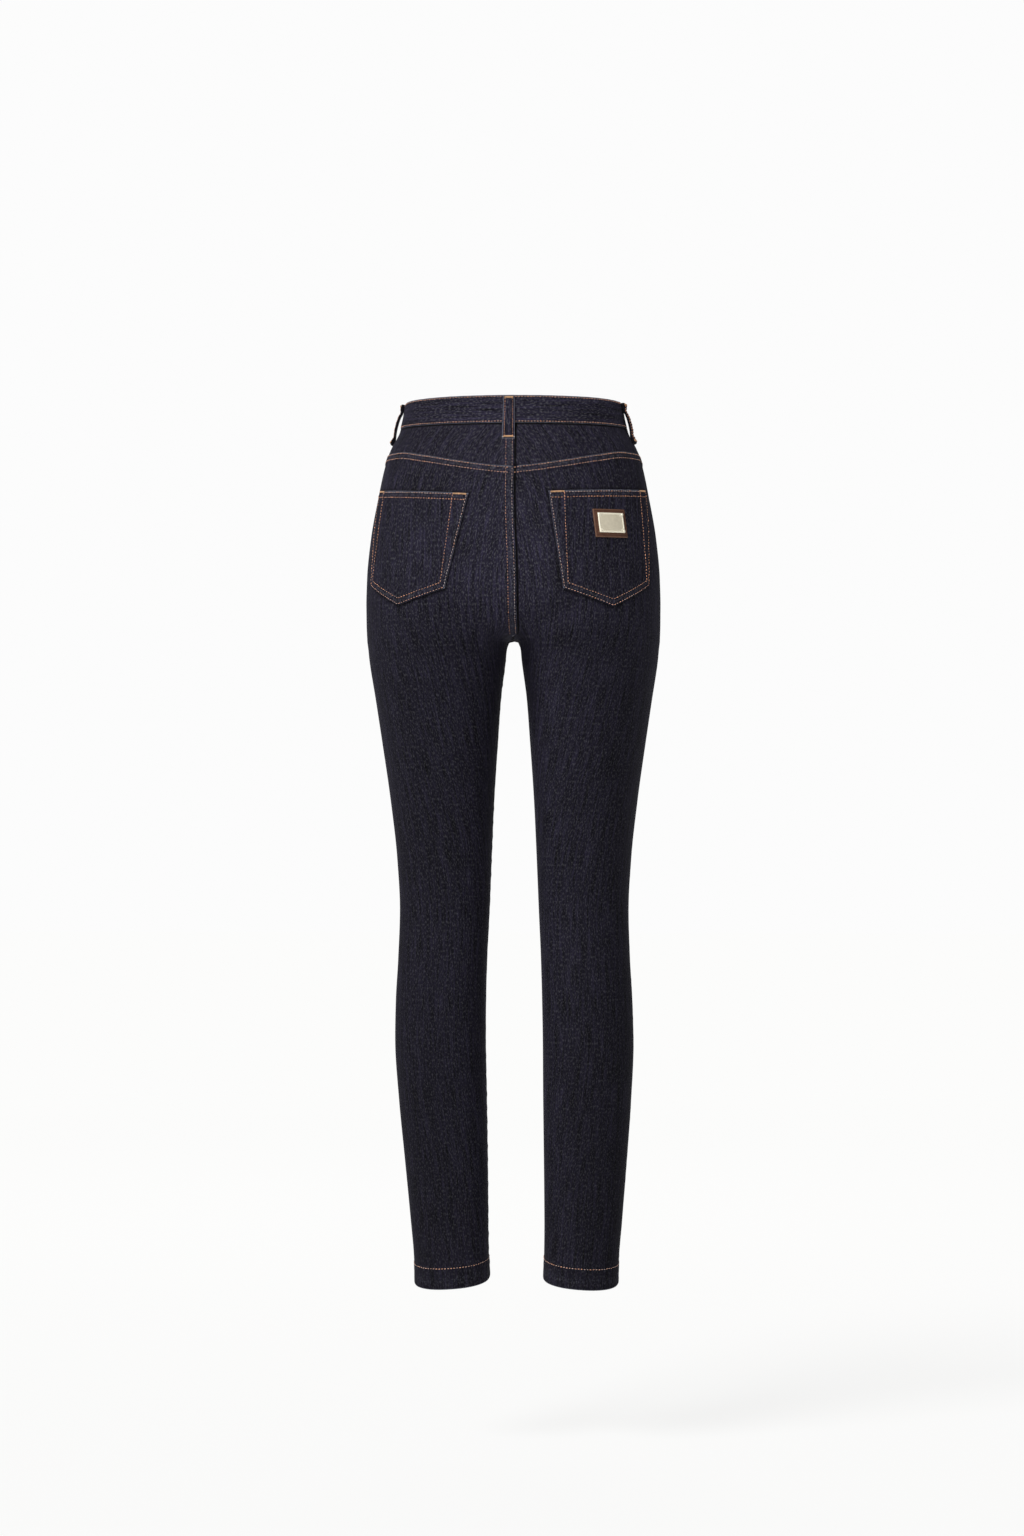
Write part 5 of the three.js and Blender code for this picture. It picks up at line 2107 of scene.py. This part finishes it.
    def _mark_field(self, plate: bpy.types.Object, steps: tuple[Array, Array]) -> None:
        """Gives the sunk faces of the plate the darker copy of the plating, painted shade in the recess.

        Args:
            plate: the plate's object.
            steps: shares across and down that it was built from.
        """
        columns, rows = len(steps[0]) - 1, len(steps[1]) - 1
        across = (steps[0][::-1][1:] + steps[0][::-1][:-1]) / 2 * self.plate_size[0]
        down = (steps[1][1:] + steps[1][:-1]) / 2 * self.plate_size[1]
        inside = self.sunk(across[None, :], down[:, None]) > 0.6
        slots = np.zeros(len(plate.data.polygons), dtype=np.int32)
        slots[: rows * columns] = inside.ravel()
        plate.data.polygons.foreach_set("material_index", slots)

    def _studs(self, plate_under: float) -> list[bpy.types.Object]:
        """A domed stud in each corner of the plate."""
        wide, tall = self.plate_size
        made = []
        r, h = self.stud_radius, self.stud_height
        dome = [(r * wide_share, h * high) for wide_share, high in self.dome]
        corners = ((0, 0), (1, 0), (0, 1), (1, 1))
        for k, (across, down) in enumerate(corners):
            share = np.array(mix(self.stud_inset, wide - self.stud_inset, across) / wide)
            fall = np.array(mix(self.stud_inset, tall - self.stud_inset, down) / tall)
            station, z = self.seat(self.plate_at, self.plate_size, share, fall)
            out = SURFACE.normals(station, z)
            seat = SURFACE.points(station, z) + out * (plate_under + self.plate_cloth + 0.00015)
            # The studs take the rim's brighter copy of the plating, a painted highlight.
            stud = lathe(f"patch_stud_{k + 1}", [(0.0, 0.0), *dome], 28, seat, out, self.finishes.rim)
            made.append(dress_trim(stud, [f"patch_stud_{k + 1}"]))
        return made


@dataclass
class WaistButton:
    """The plain shank button at the centre front."""

    finishes: Finishes
    gap: float = 0.0003
    profile: tuple[Flat, ...] = (
        (0.0, 0.0), (0.0034, 0.0), (0.0034, 0.001), (0.0078, 0.00125), (0.0084, 0.0016), (0.0086, 0.0020),
        (0.0084, 0.0025), (0.0079, 0.0029), (0.0072, 0.0031), (0.0066, 0.00305), (0.0061, 0.0026),
        (0.0054, 0.0025), (0.0048, 0.0027), (0.0038, 0.0030), (0.0022, 0.0032), (0.0008, 0.0033), (0.0, 0.0033),
    )

    def build(self) -> list[bpy.types.Object]:
        """Turns the button and seats it on the over end of the band."""
        station = np.array(2.0)
        z = (band_top(station) + band_bottom(station)) / 2
        out = SURFACE.normals(station, z)
        seat = SURFACE.points(station, z) + out * (BAND_PROUD + self.gap)
        button = lathe("button", self.profile, 56, seat, out, self.finishes.button)
        return [dress_trim(button, ["button"])]


SQUARE = ((-1, -1), (1, -1), (1, 1), (-1, 1))
BACKDROP = 0.973


@dataclass(frozen=True)
class Paper(Finish):
    """The floor's paper: it takes a faint shadow close by, and far off it is as bright as the backdrop."""

    name: str = "studio_paper"
    near: float = 0.832
    fade: tuple[float, float] = (0.8, 5.0)

    def paint(self, net: Net, shader: bpy.types.Node, effects: Effects) -> None:
        """Grey and lit close by, then only lit."""
        away = net.add("ShaderNodeVectorMath", "LENGTH")
        net.put(away.inputs[0], net.where())
        far = net.span(away.outputs["Value"], *self.fade, True)
        net.fill(
            shader,
            Base_Color=net.blend(far, opaque((0.12, 0.12, 0.12)), opaque((0.0, 0.0, 0.0))),
            Emission_Strength=net.gain(far, BACKDROP - self.near, self.near),
            Emission_Color=(1.0, 1.0, 0.993, 1.0),
            Roughness=0.9,
            Specular_IOR_Level=0.0,
        )


@dataclass
class Studio:
    """A pale floor, soft light all round and the camera behind the jeans."""

    finishes: Finishes
    floor_z: float = -1.159
    floor_reach: float = 14.0
    lighting: float = 0.22
    camera_at: tuple[float, float, float] = (-0.204, 4.495, -0.396)
    lens: float = 93.6

    def build(self) -> None:
        """Makes the floor, the world, the lights and the camera."""
        self._floor()
        self._world()
        self._sky_light("overhead_scrim", (0.62, 0.75, 1.0), 3.0, 26.0)
        self._light("back_softbox", (0.3, 3.4, 0.7), (0.0, 0.0, -0.45), (1.6, 1.6), 14.0)
        self._light("front_softbox", (0.4, -3.0, 1.2), (0.0, 0.0, -0.45), (2.4, 2.4), 34.0)
        self._camera()

    def _floor(self) -> None:
        """A wide plain floor."""
        corners = np.array([(x * self.floor_reach, y * self.floor_reach, self.floor_z) for x, y in SQUARE])
        new_object("studio_floor", new_mesh("studio_floor", corners, [(0, 1, 2, 3)], self.finishes.paper))

    def _world(self) -> None:
        """A near-white backdrop that lights the jeans less than it shows."""
        world = bpy.data.worlds.new("studio")
        world.use_nodes = True
        net = Net(world.node_tree)
        background = world.node_tree.nodes["Background"]
        path = net.add("ShaderNodeLightPath")
        strength = net.gain(path.outputs["Is Camera Ray"], BACKDROP - self.lighting, self.lighting)
        net.fill(background, Color=(1.0, 1.0, 1.0, 1.0), Strength=strength)
        bpy.context.scene.world = world

    def _light(self, name: str, at: Sequence[float], towards: Sequence[float], size: Flat, power: float) -> None:
        """Adds one rectangular softbox.

        Args:
            name: its name.
            at: where it stands.
            towards: what it faces.
            size: its width and height.
            power: its power in watts.
        """
        lamp = bpy.data.lights.new(name, "AREA")
        lamp.shape = "RECTANGLE"
        lamp.size, lamp.size_y = size
        lamp.energy = power
        thing = new_object(name, lamp)
        thing.location = at
        thing.rotation_euler = look_along(at, towards)

    def _sky_light(self, name: str, towards: Sequence[float], strength: float, spread: float) -> None:
        """Adds a broad far light.

        Args:
            name: its name.
            towards: the way to it from the jeans.
            strength: its irradiance.
            spread: the angle that it fills, in degrees.
        """
        lamp = bpy.data.lights.new(name, "SUN")
        lamp.energy = strength
        lamp.angle = math.radians(spread)
        new_object(name, lamp).rotation_euler = look_along(towards, (0.0, 0.0, 0.0))

    def _camera(self) -> None:
        """The camera: level, behind the jeans and a little to their right."""
        lens = bpy.data.cameras.new("camera")
        lens.lens = self.lens
        lens.sensor_width = 36.0
        lens.sensor_fit = "AUTO"
        lens.shift_x = -0.0013
        camera = new_object("camera", lens)
        camera.location = self.camera_at
        camera.rotation_euler = look_along(self.camera_at, (0.0, 0.0, self.camera_at[2]))
        bpy.context.scene.camera = camera


def look_along(at: Sequence[float], towards: Sequence[float]) -> tuple[float, float, float]:
    """Rotation that points a light or camera from one place to another."""
    return tuple(Vector(np.subtract(towards, at)).to_track_quat("-Z", "Y").to_euler())


# Station and lift of the two side loops
SIDE_LOOPS = {Side.LEFT: (0.897, 0.0036), Side.RIGHT: (-0.842, 0.0037)}


def main() -> None:
    """Builds the jeans, then the studio."""
    logging.basicConfig(level=logging.INFO, format="%(name)s: %(message)s", stream=sys.stdout)
    scene = bpy.context.scene
    scene.view_settings.view_transform = "Standard"
    finishes = Finishes()
    pieces = [kind(side, finishes) for side in Side for kind in (BackPanel, FrontPanel, Yoke, BackPocket)]
    pieces.append(Waistband(finishes))
    pieces.append(BeltLoop("belt_loop_back", 0.008, 0.0012, finishes))
    for side in Side:
        name = f"belt_loop_side_{side.word}"
        pieces.append(BeltLoop(name, *SIDE_LOOPS[side], finishes, top=0.0126, cloth=0.0027))
        pieces.append(BeltLoop(f"belt_loop_front_{side.word}", 1.62 * side.value, 0.0022, finishes))
    pieces += [PocketTag(finishes), WaistButton(finishes)]
    for piece in pieces:
        piece.build()
    Studio(finishes).build()


if __name__ == "__main__":
    main()
